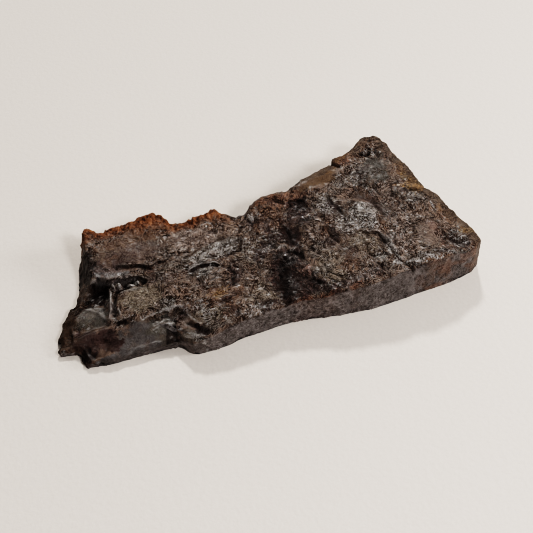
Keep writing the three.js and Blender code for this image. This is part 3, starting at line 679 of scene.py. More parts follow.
# Where each colour lies, in the order they are laid: centre, half length, half breadth, turn in degrees,
# strength.
skinPatches = {
    "mauve": [
        (-17.6, -7.0, 0.9, 1.5, -15, 1.0), (-22.0, 9.4, 6.0, 2.0, 0, 0.6),
        (-27.2, 8.4, 3.0, 1.8, -5, 1.0), (24.4, 13.2, 3.0, 2.4, 0, 0.7), (2.8, 8.6, 3.0, 3.0, 0, 0.6),
        (13.5, -11.0, 5.0, 1.2, 0, 0.6), (-19.0, 2.6, 3.4, 1.6, -20, 0.4), (21.8, 6.6, 1.6, 2.8, 30, 0.8),
        (-16.9, -6.2, 1.2, 1.8, -20, 0.9), (24.0, 2.2, 1.2, 3.0, 0, 0.6), (-6.0, -0.4, 1.2, 2.4, 0, 0.4),
    ],
    "ash": [
        (-27.4, -9.4, 7.4, 1.3, 0, 1.0), (-29.2, 7.4, 1.0, 0.9, -20, 0.8),
        (-25.6, 6.9, 3.6, 0.6, -8, 0.8), (-25.6, -7.0, 5.0, 2.6, 0, 1.0), (-12.0, -0.8, 3.0, 1.2, 0, 0.3),
    ],
    # pale: a pale pink-brown tone; the two patches by the prow, at x -17.6 and -15.4, paint light on slopes
    # there
    "pale": [
        (-17.6, -7.3, 0.9, 1.5, -15, 1.0), (8.2, 8.4, 0.7, 1.6, 0, 0.6), (26.4, 5.0, 1.8, 1.8, 0, 1.0),
        (25.4, 2.0, 0.7, 1.6, 0, 0.8), (25.4, 8.6, 0.9, 1.2, 0, 0.9), (20.2, 8.6, 1.0, 0.8, 0, 0.5),
        (13.4, 4.0, 0.8, 1.4, 0, 0.5), (12.2, 11.4, 1.2, 1.2, 0, 0.7), (-18.8, -2.6, 2.4, 1.8, 0, 1.0),
        (-14.0, -10.8, 1.0, 1.4, 0, 0.8), (-19.2, 9.0, 0.8, 2.4, 0, 0.4),
        (-15.4, -7.0, 1.0, 2.8, -15, 1.0), (-23.0, 0.4, 1.2, 2.0, 0, 0.4), (-10.8, 9.0, 4.4, 2.9, 0, 1.0),
        (-4.0, 9.0, 3.4, 2.6, 0, 0.7), (28.6, -6.4, 2.0, 2.8, 0, 0.4), (28.2, 8.0, 2.4, 2.6, 0, 0.4),
        (9.6, 1.6, 1.4, 2.4, 0, 0.5), (25.6, -2.4, 2.0, 3.0, 0, 0.6), (23.6, -6.6, 1.6, 2.6, 0, 0.6),
    ],
    "umber": [
        (-30.4, 13.6, 0.8, 3.0, 0, 1.0), (-3.0, -8.8, 2.6, 1.4, 0, 0.8), (23.0, 13.4, 1.8, 1.2, 30, 0.5),
    ],
    "olive": [
        (-23.0, 0.0, 4.0, 3.0, 0, 0.8), (-3.2, -7.4, 2.8, 2.6, 0, 0.5), (-13.6, -8.4, 2.4, 2.8, 0, 0.5),
        (10.2, -6.5, 3.2, 3.8, 0, 0.5), (17.0, -4.0, 2.4, 3.4, 0, 0.4), (-2.0, 1.5, 3.0, 2.6, 0, 0.3),
    ],
    "slate": [
        (-18.2, -9.6, 0.6, 1.4, -25, 0.9), (26.6, 13.0, 3.8, 3.2, 60, 0.9),
        (-31.9, -0.2, 3.0, 2.8, 0, 0.9), (-21.4, -6.4, 2.6, 2.0, 0, 0.9), (-20.8, -8.6, 1.8, 2.0, 0, 0.7),
        (7.6, -10.6, 3.0, 1.2, 0, 0.6), (22.6, 11.6, 2.2, 2.6, 0, 0.6), (31.4, -11.6, 3.0, 1.2, 0, 0.8),
        (28.6, 7.0, 1.0, 2.0, 0, 0.4), (4.2, 3.8, 1.2, 2.2, 0, 0.5), (-12.4, 1.0, 2.2, 1.2, 0, 0.5),
    ],
    # grey: partly a grey tone; the band from x -16.5 to -8.6 and the hump at x 19.6 are painted sheen, where
    # the light is mirrored
    "grey": [
        (-8.6, 4.8, 5.4, 1.9, 8, 0.8), (-15.0, 3.2, 1.8, 1.0, 0, 0.6), (-16.5, 4.6, 3.0, 1.1, 8, 0.6),
        (19.6, 2.2, 2.8, 3.6, -20, 1.0), (14.4, 7.6, 1.6, 2.6, -20, 0.7), (18.6, 11.0, 3.2, 1.6, 30, 0.6),
        (30.2, 3.0, 2.2, 1.8, 0, 0.7), (26.0, -11.2, 5.0, 1.0, 0, 0.6), (-31.2, 1.6, 1.6, 1.6, -40, 0.5),
        (-21.4, -6.0, 2.0, 0.7, 10, 0.6), (-16.9, -10.9, 2.0, 1.0, -45, 1.0),
        (-16.9, -6.6, 0.9, 1.6, -20, 0.4), (18.4, -8.4, 1.2, 1.2, 20, 0.8),
        (22.6, 15.0, 2.0, 1.4, 20, 0.5), (-12.6, -11.0, 3.0, 1.2, 0, 0.6),
        (15.4, 2.0, 1.4, 3.0, -10, 0.6), (9.0, -2.4, 1.6, 2.0, 0, 0.6), (1.0, 10.6, 0.9, 1.2, 0, 0.9),
        (20.8, -8.0, 0.8, 3.4, 0, 0.6), (-13.6, -6.6, 1.6, 2.6, 0, 0.6), (8.4, -6.0, 1.6, 2.0, 0, 0.5),
        (-10.8, 1.5, 1.6, 0.7, 0, 0.8), (-24.2, 3.6, 2.8, 0.7, -10, 0.7), (-18.8, -2.6, 1.8, 1.4, 0, 1.0),
    ],
    "brown": [
        (31.0, 9.6, 1.8, 3.6, 0, 0.7), (-16.4, -0.4, 2.0, 2.6, 0, 0.7), (14.4, -7.4, 2.6, 3.0, 60, 0.7),
        (12.2, 1.6, 1.2, 2.2, 0, 0.6), (28.6, 20.2, 3.0, 1.3, 25, 0.6), (-11.0, -5.0, 3.8, 1.6, 0, 0.8),
        (27.4, 2.4, 0.9, 1.2, 0, 0.5),
    ],
    "russet": [
        (9.4, 10.4, 2.0, 1.4, 0, 0.7), (-10.0, -5.6, 4.2, 1.9, -5, 1.0), (12.8, -7.6, 2.2, 1.8, 0, 0.7),
        (1.8, 6.2, 1.2, 1.6, 0, 0.6), (22.2, 7.4, 1.0, 3.0, 20, 0.5), (13.4, 12.0, 2.4, 1.1, 10, 0.6),
        (26.0, 19.2, 4.0, 1.4, 28, 0.6), (-14.6, 12.4, 2.6, 1.4, 0, 0.9), (-6.6, 11.8, 3.4, 1.2, 0, 0.9),
        (21.9, -1.2, 0.6, 3.0, 5, 0.6), (3.2, 9.0, 3.2, 3.2, 0, 0.9), (8.2, 12.4, 3.4, 1.3, 5, 0.9),
        (-16.0, -2.4, 1.2, 1.2, 0, 0.5), (-25.0, 13.0, 5.0, 1.2, 0, 0.5), (-17.6, 12.6, 2.4, 1.8, 0, 0.8),
        (-26.4, 9.2, 1.6, 1.0, 0, 0.5), (27.6, -12.4, 3.4, 0.8, 3, 0.8), (35.0, -11.0, 1.6, 0.8, 10, 0.7),
        (-10.2, -5.0, 4.0, 1.7, 0, 0.9), (7.6, 11.4, 3.4, 1.8, 0, 0.6), (22.0, 17.8, 3.4, 1.8, 30, 0.6),
        (31.0, 9.0, 1.4, 4.4, 0, 0.6), (-9.0, -8.6, 1.0, 1.6, 0, 0.8), (4.6, 9.4, 2.2, 2.4, 0, 0.7),
        (11.8, 1.6, 0.9, 1.6, 0, 0.8), (33.4, -2.8, 1.2, 3.0, 10, 0.8), (29.6, 13.4, 1.6, 3.4, 0, 0.3),
        (24.0, 19.2, 3.4, 1.2, 28, 0.6), (-2.6, 10.4, 2.0, 1.0, -20, 0.6), (27.4, 4.2, 0.8, 0.9, 0, 0.7),
    ],
    "redBrown": [
        (9.6, 10.6, 1.8, 0.8, 0, 0.7), (22.4, 18.4, 2.2, 1.0, 32, 1.0), (5.6, 11.2, 2.0, 1.6, 0, 0.6),
        (9.4, 11.4, 1.6, 1.0, 0, 0.5), (21.4, 17.6, 1.9, 1.3, 30, 0.9), (5.4, 12.8, 4.2, 1.0, 0, 0.9),
        (25.6, 19.9, 3.6, 0.7, 28, 0.5), (4.6, -11.9, 4.4, 0.9, -4, 1.0), (12.2, -12.4, 1.4, 0.8, 0, 0.8),
        (-10.8, -9.6, 0.9, 0.7, 0, 0.5), (30.6, -7.4, 0.4, 1.6, 0, 0.6), (10.6, 12.2, 1.6, 1.0, 30, 0.7),
        (30.4, -9.0, 0.8, 0.7, 0, 0.8),
    ],
    "tan": [
        (14.6, 13.8, 4.6, 1.4, 22, 1.0), (17.2, 13.6, 2.6, 1.2, 32, 1.0), (-4.4, 8.4, 3.0, 2.2, 0, 0.3),
    ],
    "ochre": [
        (30.8, 5.4, 2.2, 1.4, -35, 0.8), (32.2, 7.0, 1.0, 1.6, 0, 1.0), (31.4, 9.4, 1.0, 1.2, 0, 0.6),
        (35.3, -7.0, 0.5, 0.7, 0, 1.0), (-10.4, -4.1, 1.4, 0.22, 5, 1.0),
        (-12.0, -4.1, 0.9, 0.18, 0, 0.8), (-10.6, -5.0, 1.0, 0.2, 0, 0.8), (31.6, 7.0, 1.0, 2.6, 0, 0.5),
        (32.4, 5.6, 0.7, 1.2, 0, 0.7), (36.0, -7.4, 0.5, 0.8, 0, 0.7),
    ],
    "wine": [
        (-33.4, -4.4, 4.6, 1.8, -3, 0.9), (-31.4, -5.8, 2.6, 1.8, 0, 0.8),
        (-30.0, -7.2, 1.0, 1.4, 0, 0.8), (-34.2, -6.4, 1.6, 2.4, 0, 0.8),
    ],
    "bark": [
        (-37.0, 0.4, 1.5, 4.2, -25, 1.0), (-34.6, 3.6, 1.6, 1.0, 40, 0.9),
        (-38.4, -3.8, 0.9, 1.4, 0, 0.5), (-34.6, -7.6, 0.5, 1.2, 0, 0.8),
    ],
    "maroon": [
        (5.8, 2.8, 1.8, 3.4, 0, 1.0), (2.8, -0.9, 2.4, 1.3, -20, 0.8), (-26.0, 8.9, 2.0, 0.7, -5, 0.5),
        (-0.6, -8.4, 1.6, 1.4, 0, 0.8), (-3.4, -10.2, 1.6, 0.8, 0, 0.7), (0.6, 2.4, 0.9, 1.8, 0, 0.8),
        (12.0, -1.2, 0.9, 1.6, 0, 0.6), (28.6, 6.8, 0.9, 1.0, 0, 0.7), (-2.0, 1.8, 0.9, 1.4, 0, 0.7),
        (12.8, -5.0, 1.4, 2.0, 0, 0.45), (23.0, -4.6, 0.8, 1.4, 0, 0.5), (23.8, 13.2, 1.8, 0.9, 20, 0.5),
        (6.3, 5.2, 0.7, 0.9, 0, 0.6), (-13.6, 10.2, 0.8, 1.0, 0, 0.4), (8.6, -11.5, 1.0, 0.8, 0, 0.9),
        (-17.9, -1.0, 0.6, 0.5, 0, 0.3), (-19.6, 5.0, 0.9, 0.8, 0, 0.6), (7.6, 6.6, 1.6, 1.6, 0, 0.8),
        (30.8, -10.6, 3.2, 0.9, 12, 0.6), (5.2, 6.8, 1.3, 1.2, 0, 0.6), (9.4, 8.8, 2.0, 2.5, -15, 0.95),
        (-0.9, 1.2, 1.5, 2.0, 0, 0.85), (2.3, 4.8, 0.8, 1.4, 0, 0.8), (9.2, 5.6, 1.0, 1.2, 0, 0.8),
        (10.8, 4.8, 0.8, 0.8, 0, 0.6), (8.6, 6.2, 1.0, 1.6, 0, 0.7), (2.8, 3.4, 1.0, 1.2, 0, 0.7),
        (2.4, 6.8, 0.8, 2.6, -10, 0.4), (4.0, -2.4, 2.7, 2.5, 0, 0.85), (3.2, -8.0, 4.0, 3.4, 0, 0.95),
        (6.9, -9.2, 1.1, 2.2, 10, 0.9), (1.4, -5.8, 2.4, 5.4, -10, 1.0), (8.8, -11.0, 2.2, 0.7, 0, 0.6),
        (-1.2, -5.4, 1.2, 2.0, 0, 0.5), (-33.0, -6.4, 0.9, 0.8, 0, 0.8), (-30.2, -5.4, 1.2, 0.9, 0, 0.9),
        (-29.6, -7.0, 0.6, 1.2, 0, 0.9), (-32.2, -5.0, 0.7, 0.5, 0, 0.9), (-34.4, -6.8, 0.8, 2.2, 0, 0.7),
        (-31.8, 6.6, 0.8, 1.0, 0, 0.8), (15.6, 7.0, 0.8, 2.4, 10, 0.9), (16.1, 3.6, 0.5, 1.4, 0, 0.6),
        (12.5, 0.2, 0.8, 2.4, 10, 0.8), (-6.9, -1.8, 0.9, 2.2, 0, 0.8),
        (-15.5, -10.4, 2.0, 0.7, -58, 0.9), (32.8, -9.4, 1.6, 2.2, 30, 0.8),
        (22.9, 4.2, 1.0, 2.0, -30, 0.5), (0.2, 9.0, 0.6, 1.8, 0, 0.6), (-9.4, -6.2, 1.6, 0.5, 0, 0.6),
        (8.4, 10.0, 1.3, 1.5, 15, 0.9), (-8.8, -9.6, 0.6, 1.6, 0, 0.7), (19.0, 12.0, 0.7, 0.5, 0, 0.5),
        (22.4, 10.6, 0.7, 1.2, 0, 0.5), (14.6, -4.6, 0.8, 1.4, 10, 0.5),
    ],
    "pink": [
        (29.9, -5.0, 1.0, 1.8, 10, 0.6), (30.4, 16.8, 0.9, 2.0, 0, 0.6), (5.4, -5.2, 1.1, 0.4, 0, 0.9),
        (-0.8, -4.4, 0.7, 0.3, 20, 0.3), (-32.3, 4.1, 0.4, 0.4, 0, 0.6),
    ],
    # black: painted shade in the cavity and down the left wall at the thin end, in the notch by the prow and
    # by the step at x -33.6; elsewhere a dark colour
    "black": [
        (-4.0, -10.2, 2.0, 0.8, 0, 0.5), (2.0, 2.6, 0.8, 1.6, 0, 0.6), (1.9, -3.8, 1.4, 2.4, -12, 1.0),
        (1.2, -7.2, 1.5, 3.0, -10, 1.0), (5.8, 2.6, 1.0, 2.4, 0, 1.0), (2.6, -0.8, 1.4, 0.8, -20, 0.8),
        (-12.2, 1.3, 0.9, 0.35, 10, 0.6), (6.2, -9.2, 0.6, 0.8, 0, 0.4), (10.0, 9.3, 0.9, 1.5, -15, 0.9),
        (9.2, 5.8, 0.7, 0.9, 0, 0.7), (4.2, -2.2, 1.2, 1.2, 0, 0.6), (0.4, -9.0, 0.6, 1.0, -8, 0.8),
        (2.6, -7.2, 0.8, 1.4, 0, 0.7), (4.8, 3.2, 0.4, 1.8, 0, 0.8), (9.6, 10.2, 1.1, 0.6, 0, 0.8),
        (-29.4, 4.4, 1.6, 2.0, -10, 1.0), (-30.8, 3.8, 1.2, 1.2, 0, 0.9),
        (-15.2, -11.9, 1.0, 0.25, -67, 0.3), (-18.9, -9.6, 0.4, 1.4, -20, 0.5),
        (-20.2, -8.9, 1.0, 2.6, 0, 0.9), (-33.6, 4.2, 1.3, 1.1, 0, 1.0), (-29.0, 13.4, 0.4, 1.8, 0, 0.6),
        (-30.6, 5.2, 1.5, 1.7, 0, 0.65), (-29.6, 2.8, 1.5, 1.1, 0, 0.9), (-30.8, 9.0, 1.4, 2.6, 8, 1.0),
        (-29.7, 10.6, 1.1, 2.6, 5, 1.0), (-31.6, 9.0, 1.0, 2.2, 8, 1.0), (-30.9, 13.4, 1.6, 3.0, 8, 0.2),
        (22.2, -12.3, 0.4, 0.6, -20, 1.0), (20.6, -4.6, 0.25, 0.9, -5, 1.0),
        (17.0, -10.7, 0.4, 0.5, 0, 0.8), (-34.5, -7.4, 0.7, 1.6, 0, 0.9),
    ],
}

# painted glints and highlights: small pale marks on shards, crests, the hump and in the cavity
paintedGlintPatches = [
    (19.2, 3.6, 1.0, 0.25, 50, 0.5), (20.6, 2.6, 0.9, 0.25, 30, 0.5), (19.8, 0.8, 0.9, 0.2, -20, 0.5),
    (18.4, 1.8, 0.8, 0.2, 70, 0.4), (-27.0, 4.6, 0.3, 0.9, 0, 0.9), (-26.0, 4.4, 0.35, 0.8, 10, 0.8),
    (-22.8, 4.2, 0.4, 0.8, 25, 0.9), (-24.2, 2.6, 2.2, 0.2, -6, 0.5), (-28.1, 2.0, 0.16, 2.8, 12, 0.7),
    (-24.4, 4.2, 0.2, 0.7, 0, 0.6), (-23.6, 3.9, 0.15, 0.6, 0, 0.5), (-20.0, -6.6, 0.6, 0.25, -30, 1.0),
    (-19.0, -5.9, 0.35, 0.25, 30, 1.0), (-29.3, 4.8, 0.5, 0.24, 0, 1.0), (-30.5, 3.2, 0.7, 0.2, -30, 0.9),
    (-31.2, 4.6, 0.6, 0.2, -20, 0.8), (-29.8, 3.6, 0.5, 0.16, 20, 0.8), (-31.2, 1.9, 1.1, 0.2, -50, 0.9),
    (-30.2, 0.7, 0.5, 0.3, -50, 0.7), (-23.6, 3.9, 0.8, 0.25, -12, 0.8),
    (-16.9, -10.2, 1.3, 0.16, -48, 0.9), (-15.9, -12.2, 1.0, 0.12, -20, 0.8),
    (-16.6, -11.2, 0.9, 0.5, -45, 0.3), (-18.4, -8.2, 0.4, 0.2, -30, 0.9),
    (-28.8, 7.8, 0.8, 0.35, -65, 0.8), (-11.0, 1.9, 1.6, 0.13, 8, 0.9), (-33.0, -2.0, 0.3, 0.25, 0, 0.9),
    (-33.8, -1.2, 0.3, 0.25, 0, 0.4), (-11.2, 1.2, 0.5, 0.25, 20, 0.7), (-10.4, -8.2, 0.6, 0.2, -10, 0.6),
    (18.6, -8.5, 0.6, 0.5, 20, 0.5), (20.4, -10.8, 0.8, 0.4, -30, 0.7), (22.9, -11.2, 0.7, 0.3, 0, 0.8),
    (25.0, -11.6, 1.6, 0.3, 5, 0.5), (21.1, -9.2, 0.25, 1.0, 0, 0.6), (33.2, -8.4, 0.35, 0.25, 0, 0.8),
    (32.5, -10.2, 0.3, 0.4, 0, 0.7), (33.9, -9.6, 0.3, 0.3, 0, 0.7), (-8.4, 4.9, 3.0, 0.4, 12, 0.3),
    (-6.2, 5.9, 1.6, 0.4, 20, 0.3), (-21.8, -5.8, 0.9, 0.15, 15, 0.7), (-22.6, -6.4, 0.6, 0.12, 10, 0.6),
    (-30.6, 0.3, 0.9, 0.2, -40, 0.6),
]
# gold brown streaks across the middle
goldStreaks = [
    (-11.0, -4.7, 1.9, 0.2, 14, 1.0), (-9.6, -4.6, 1.3, 0.17, 18, 0.9), (-12.4, -5.3, 1.1, 0.18, 8, 0.9),
    (-10.2, -5.4, 1.3, 0.16, 12, 0.8), (-8.9, -3.9, 0.9, 0.16, 25, 0.8),
    (-12.8, -4.4, 0.8, 0.14, 20, 0.7),
]
# gold brown on the worn rims
goldPatches = [
    (31.6, 6.0, 1.0, 2.6, 0, 1.0), (29.4, 7.2, 1.4, 0.9, -30, 0.9), (32.8, 5.0, 0.8, 1.2, 0, 0.8),
    (35.4, -7.0, 0.6, 0.9, 0, 0.8), (31.2, 11.6, 0.8, 2.2, 0, 0.4), (21.6, 18.2, 1.8, 0.6, 32, 0.5),
    (33.6, -0.6, 0.5, 1.2, 0, 0.4), (18.6, 15.4, 2.4, 0.5, 25, 0.5),
]
# where the natural gloss is even and low
evenPatches = [
    (-33.0, -3.0, 5.0, 5.0, 0, 1.0), (-25.6, -7.0, 5.4, 2.6, 0, 1.0), (26.4, 12.8, 3.6, 3.2, 0, 0.9),
    (-23.0, 10.4, 6.0, 3.0, 0, 0.6), (3.0, -6.0, 3.4, 5.0, 0, 0.5), (28.6, -6.4, 2.0, 3.0, 0, 0.6),
]
# where the skin is glossy
glossPatches = [
    (-17.6, -7.2, 0.8, 1.2, -15, 0.5), (-30.8, 4.2, 1.6, 1.4, 0, 0.8), (-18.8, -2.6, 1.4, 1.0, 0, 0.6),
    (-25.0, 4.4, 3.0, 1.2, -12, 1.0), (-31.8, 0.0, 3.0, 2.8, 0, 0.35), (-28.3, 0.0, 0.8, 3.8, 0, 0.9),
    (-21.0, -6.3, 2.4, 1.1, 10, 0.7), (-8.4, 4.6, 5.4, 1.9, 8, 0.8), (19.8, 2.2, 3.0, 4.0, -20, 0.9),
    (27.0, 17.4, 1.5, 1.0, 10, 0.9), (33.0, -8.8, 1.6, 2.2, 0, 1.0), (26.0, -11.2, 5.0, 1.0, 0, 0.7),
    (-11.0, 1.4, 3.0, 0.9, 0, 0.8), (-16.9, -10.8, 1.9, 0.8, -45, 1.0), (-27.2, 7.0, 3.4, 0.6, -5, 0.8),
    (-29.8, 7.2, 0.6, 0.8, 0, 0.8), (-31.0, 2.6, 1.6, 0.5, -30, 0.8), (18.4, -7.8, 1.8, 1.4, 0, 0.9),
    (-6.6, -10.2, 3.0, 0.8, 0, 0.7), (30.2, 2.6, 2.4, 2.0, 60, 0.6), (14.4, 7.0, 1.6, 3.0, 0, 0.8),
    (4.0, -1.6, 2.0, 2.0, 0, 0.6), (15.6, 1.8, 1.6, 3.0, -10, 0.7), (1.0, 10.4, 1.2, 1.6, 0, 0.9),
    (-2.0, 2.0, 2.4, 3.0, 0, 0.5), (20.9, -8.0, 1.0, 4.0, 0, 0.8), (-13.6, -6.6, 1.6, 2.8, 0, 0.6),
    (2.6, -6.6, 1.4, 2.6, 0, 0.4),
]

# What a user would change on how the colours are laid: shares from 0 to 1.
tones = {
    "depths": {"black": 1.0, "maroon": 0.8, "wine": 0.5, "bark": 0.5},  # how deep in shadow the dark ones are
    "onWalls": {"ash": 0.8, "russet": 0.45, "black": 0.04, "maroon": 0.04}, "onWallsElse": 0.15,
    "thinEnd": -28.3,  # the dark colours cover the walls too where x is less, in millimetres
    # painted shade in the hollows and painted light on raised parts
    "hollowPaintedShade": 0.45, "raisedPaintedLight": 0.2,
    # the line share paints shade along the dark lines, the share after it paints glints and highlights
    "line": 0.9, "paintedGlint": 0.75, "worn": 0.7, "goldPatch": 0.85,
    # the next two darken the thin end: its own dark crust and painted shade
    "thinEndCrustAndShade": 0.95, "thinEndCrustAndShadeDeep": 0.8, "stained": 0.45,
    "gloss": 0.16, "glossVaries": 0.55, "raisedGloss": 0.2,
}


# A colour moved towards a target by an amount from 0 to 1 at each point.
def laid(colour, target, amount):
    return colour + np.subtract(target, colour) * amount[:, None]


# The ground under the patches: umber to brown by noise on the face, and the walls' colour with random tone,
# lighter towards the middle of the slab and at its thin half.
def groundColour(points, up):
    x = points[:, 0]
    t = smoothStep(-1.0, 0.7, fractal(points, 4.0, 4, 0.6, 101))[:, None]
    colour = (1 - t) * skinColours["umber"] + t * skinColours["brown"]
    tone = 0.85 + 0.35 * smoothStep(-0.5, 0.5, fractal(points, 2.2, 4, 0.7, 241))
    tone *= 1 + 0.42 * hump(x, 6, 9) + 0.2 * smoothStep(-4, -10, x)
    return colour * up[:, None] + skinColours["wall"] * ((1 - up) * tone)[:, None]


# Each colour's patches laid over the ground in turn, and how deep in shadow each point is: a dark colour
# makes it deep, a later one covers it again.
def layPatches(colour, points, up, streaks):
    deep = np.zeros(len(points))
    islands = smoothStep(0.12, 0.3, fractal(points, 0.8, 3, 0.65, 221))
    atThinEnd = points[:, 0] < tones["thinEnd"]
    for index, (name, patches) in enumerate(skinPatches.items()):
        depth = tones["depths"].get(name, 0)
        least = 0.9 if depth else 0.7
        amount = patchAmount(points, patches, 1.1, 200 + 17 * index) * (least + (1.1 - least) * streaks)
        low = tones["onWalls"].get(name, tones["onWallsElse"])
        amount *= np.where(atThinEnd & (depth > 0), 1, low + (1 - low) * up)
        if name in ("black", "maroon"):
            amount *= 1 - 0.25 * islands * up
        amount = np.minimum(amount, 1)
        deep = np.maximum(deep * (1 - amount), depth * amount)
        colour = laid(colour, skinColours[name], amount)
    return colour, deep


# Gloss from 0 to 1: zones and spots of noise, less in even and calm patches and on the walls, more in the
# glossy patches and where glints and highlights are painted, and little or none on rust, tan, red brown, worn
# rims, hollows and dark lines.
def glossOf(points, up, proud, dark, pale, deep, rust, worn, calmed):
    even = patchAmount(points, evenPatches, 0.6, 251)
    zone = 0.35 + 0.65 * smoothStep(-0.5, 0.35, fractal(points, 2.6, 2, 0.5, 261))
    spots = smoothStep(-0.1, 0.6, fractal(points, 0.6, 2, 0.65, 141))
    gloss = tones["gloss"] + tones["glossVaries"] * zone * (1 - 0.8 * even) * spots * (1 - 0.7 * calmed)
    gloss = gloss + tones["raisedGloss"] * smoothStep(0.05, 0.5, proud)
    flicker = 0.4 + 0.8 * smoothStep(-0.3, 0.3, fractal(points, 0.6, 2, 0.65, 231))
    gloss = np.maximum(gloss, patchAmount(points, glossPatches, 0.8, 151) * flicker) * (0.3 + 0.7 * up)
    gloss = np.maximum(gloss, pale)
    dull = patchAmount(points, skinPatches["tan"] + skinPatches["redBrown"], 0.6, 161)
    dull = np.maximum(dull, np.maximum(0.6 * smoothStep(-0.1, -0.6, proud), dark))
    return np.clip(gloss * (1 - dull) * (1 - 0.95 * rust) * (1 - 0.9 * worn) * (1 - 0.45 * deep), 0, 1)


# Colour, gloss and depth of shadow of the skin at each point: ground, patches, painted shade in hollows and
# painted light on raised parts, dark lines of painted shade, painted glints and highlights, worn and gold
# rims, the thin end darkened by its crust and by painted shade, the stained front wall, and rust over all of
# them.
def skinOf(points, normals, proud, dark, pale, rust, worn, calmed):
    x, y, _ = points.T
    up = smoothStep(0.25, 0.6, normals[:, 2])
    streaks = smoothStep(-0.7, 0.2, fractal(points, 1.5, 4, 0.6, 121))
    colour, deep = layPatches(groundColour(points, up), points, up, streaks)
    # painted shade in the hollows and at the foot of cliffs, and painted light on raised parts
    paintedHollowShade = smoothStep(-0.1, -0.6, proud)
    paintedRaisedLight = smoothStep(0.05, 0.5, proud)
    colour = colour * (1 - tones["hollowPaintedShade"] * paintedHollowShade + tones["raisedPaintedLight"] * paintedRaisedLight)[:, None]
    # painted shade: the dark lines at the foot of scarps and in furrows, laid in black; painted highlights
    # along lips and crests
    dark, pale = dark * up, pale * up * (0.5 + 0.5 * streaks) * (1 - dark)
    colour = laid(colour, skinColours["black"], tones["line"] * dark)
    # painted glints and highlights on shards, crests and in the cavity, laid in a pale grey
    pale = np.maximum(pale, patchAmount(points, paintedGlintPatches, 0.25, 181))
    colour = laid(colour, skinColours["paintedGlint"], tones["paintedGlint"] * pale)
    colour = laid(colour, skinColours["worn"], tones["worn"] * worn * (0.6 + 0.5 * streaks))
    gold = tones["goldPatch"] * patchAmount(points, goldPatches, 0.8, 271)
    gold = np.maximum(gold, patchAmount(points, goldStreaks, 0.3, 273))
    gold = gold * (0.4 + 0.6 * streaks) * (0.4 + 0.6 * up)
    colour = laid(colour, skinColours["gold"], gold)
    # darker along the thin end's edge: partly its own dark crust, partly painted shade of faces turned from
    # the lamps
    edge = nearestOn(thinSide, x, y)[0] + 0.5 * fractal(points, 1.8, 3, 0.6, 191)
    thinEndCrustAndShade = smoothStep(2.5, 1.9, edge) * smoothStep(-5.0, -3.0, y) * smoothStep(8.0, 5.0, y)
    colour = laid(colour, skinColours["bark"], tones["thinEndCrustAndShade"] * thinEndCrustAndShade)
    deep = np.maximum(deep, tones["thinEndCrustAndShadeDeep"] * thinEndCrustAndShade)
    stained = (1 - up) * smoothStep(18, 30, x) * smoothStep(0.0, 0.4, fractal(points, 3.2, 3, 0.6, 281))
    stained = stained * smoothStep(-4, -8, y)
    colour = laid(colour, skinColours["redBrown"], tones["stained"] * stained)
    shade = 0.6 + 0.55 * smoothStep(-0.5, 0.5, fractal(points, 1.1, 3, 0.7, 131))
    shade = (shade * (1 + 0.35 * hump(x, -17.5, 2.2)))[:, None]
    crustColour = laid(skinColours["rustBorder"], skinColours["rust"], rust)
    colour = laid(colour, crustColour * shade, rust)
    gloss = glossOf(points, up, proud, dark, pale, deep, rust, worn, calmed)
    return colour, gloss, np.maximum(deep, dark)


# A mesh object from points in metres, quads and triangles.
def meshObject(name, points, quads, triangles):
    mesh = bpy.data.meshes.new(name)
    mesh.vertices.add(len(points))
    mesh.vertices.foreach_set("co", points.astype(np.float32).ravel())
    mesh.loops.add(quads.size + triangles.size)
    around = np.concatenate([quads.ravel(), triangles.ravel()])
    mesh.loops.foreach_set("vertex_index", around.astype(np.int32))
    mesh.polygons.add(len(quads) + len(triangles))
    starts = np.concatenate([np.arange(len(quads)) * 4, quads.size + np.arange(len(triangles)) * 3])
    mesh.polygons.foreach_set("loop_start", starts.astype(np.int32))
    mesh.update(calc_edges=True)
    mesh.validate()
    mesh.polygons.foreach_set("use_smooth", np.ones(len(mesh.polygons), bool))
    built = bpy.data.objects.new(name, mesh)
    bpy.context.scene.collection.objects.link(built)
    return built


# Puts one number a point into the mesh under a name that a material can read.
def pointValues(built, name, values):
    layer = built.data.attributes.new(name, "FLOAT", "POINT")
    layer.data.foreach_set("value", values.astype(np.float32))


# The slab: its surface, moved along the normals by the fine relief, and the numbers its material reads.
def buildSlab():
    flat, quads, sewn = slabSurface()
    normals = pointNormals(flat, quads)
    dark, pale = lineWork(flat[:, 0], flat[:, 1])
    zones = rustAmount(flat), wornAmount(flat), patchAmount(flat, calmPatches)
    lift, crest, grit = fineRelief(flat, normals, dark, pale, *zones)
    points = flat + normals * lift[:, None]
    points[:, 2] = np.maximum(points[:, 2], 0)
    outline = np.array(frontSide + backSide + thinSide + thickSide)
    middle = (outline.min(0) + outline.max(0)) / 2
    built = meshObject("weathered_slab", (points - [*middle, 0]) * millimetre, quads, sewn)
    colour, gloss, deep = skinOf(flat, normals, proudness(flat), dark, pale, *zones)
    opaque = np.column_stack([colour, np.ones(len(colour))])
    layer = built.data.attributes.new("skin", "FLOAT_COLOR", "POINT")
    layer.data.foreach_set("color", opaque.astype(np.float32).ravel())
    for name, values in (("gloss", gloss), ("deep", deep), ("crest", crest), ("grit", grit)):
        pointValues(built, name, values)
    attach(built, "root")
    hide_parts("meteorite")
    print("stage: slab built,", len(points), "points,", len(quads) * 2 + len(sewn), "triangles")
    return built, middle


# A material with one shader, its node tree and that shader.
def newMaterial(name):
    material = bpy.data.materials.new(name)
    material.use_nodes = True
    tree = material.node_tree
    tree.nodes.clear()
    output = tree.nodes.new("ShaderNodeOutputMaterial")
    shader = tree.nodes.new("ShaderNodeBsdfPrincipled")
    tree.links.new(shader.outputs[0], output.inputs[0])
    return material, tree, shader


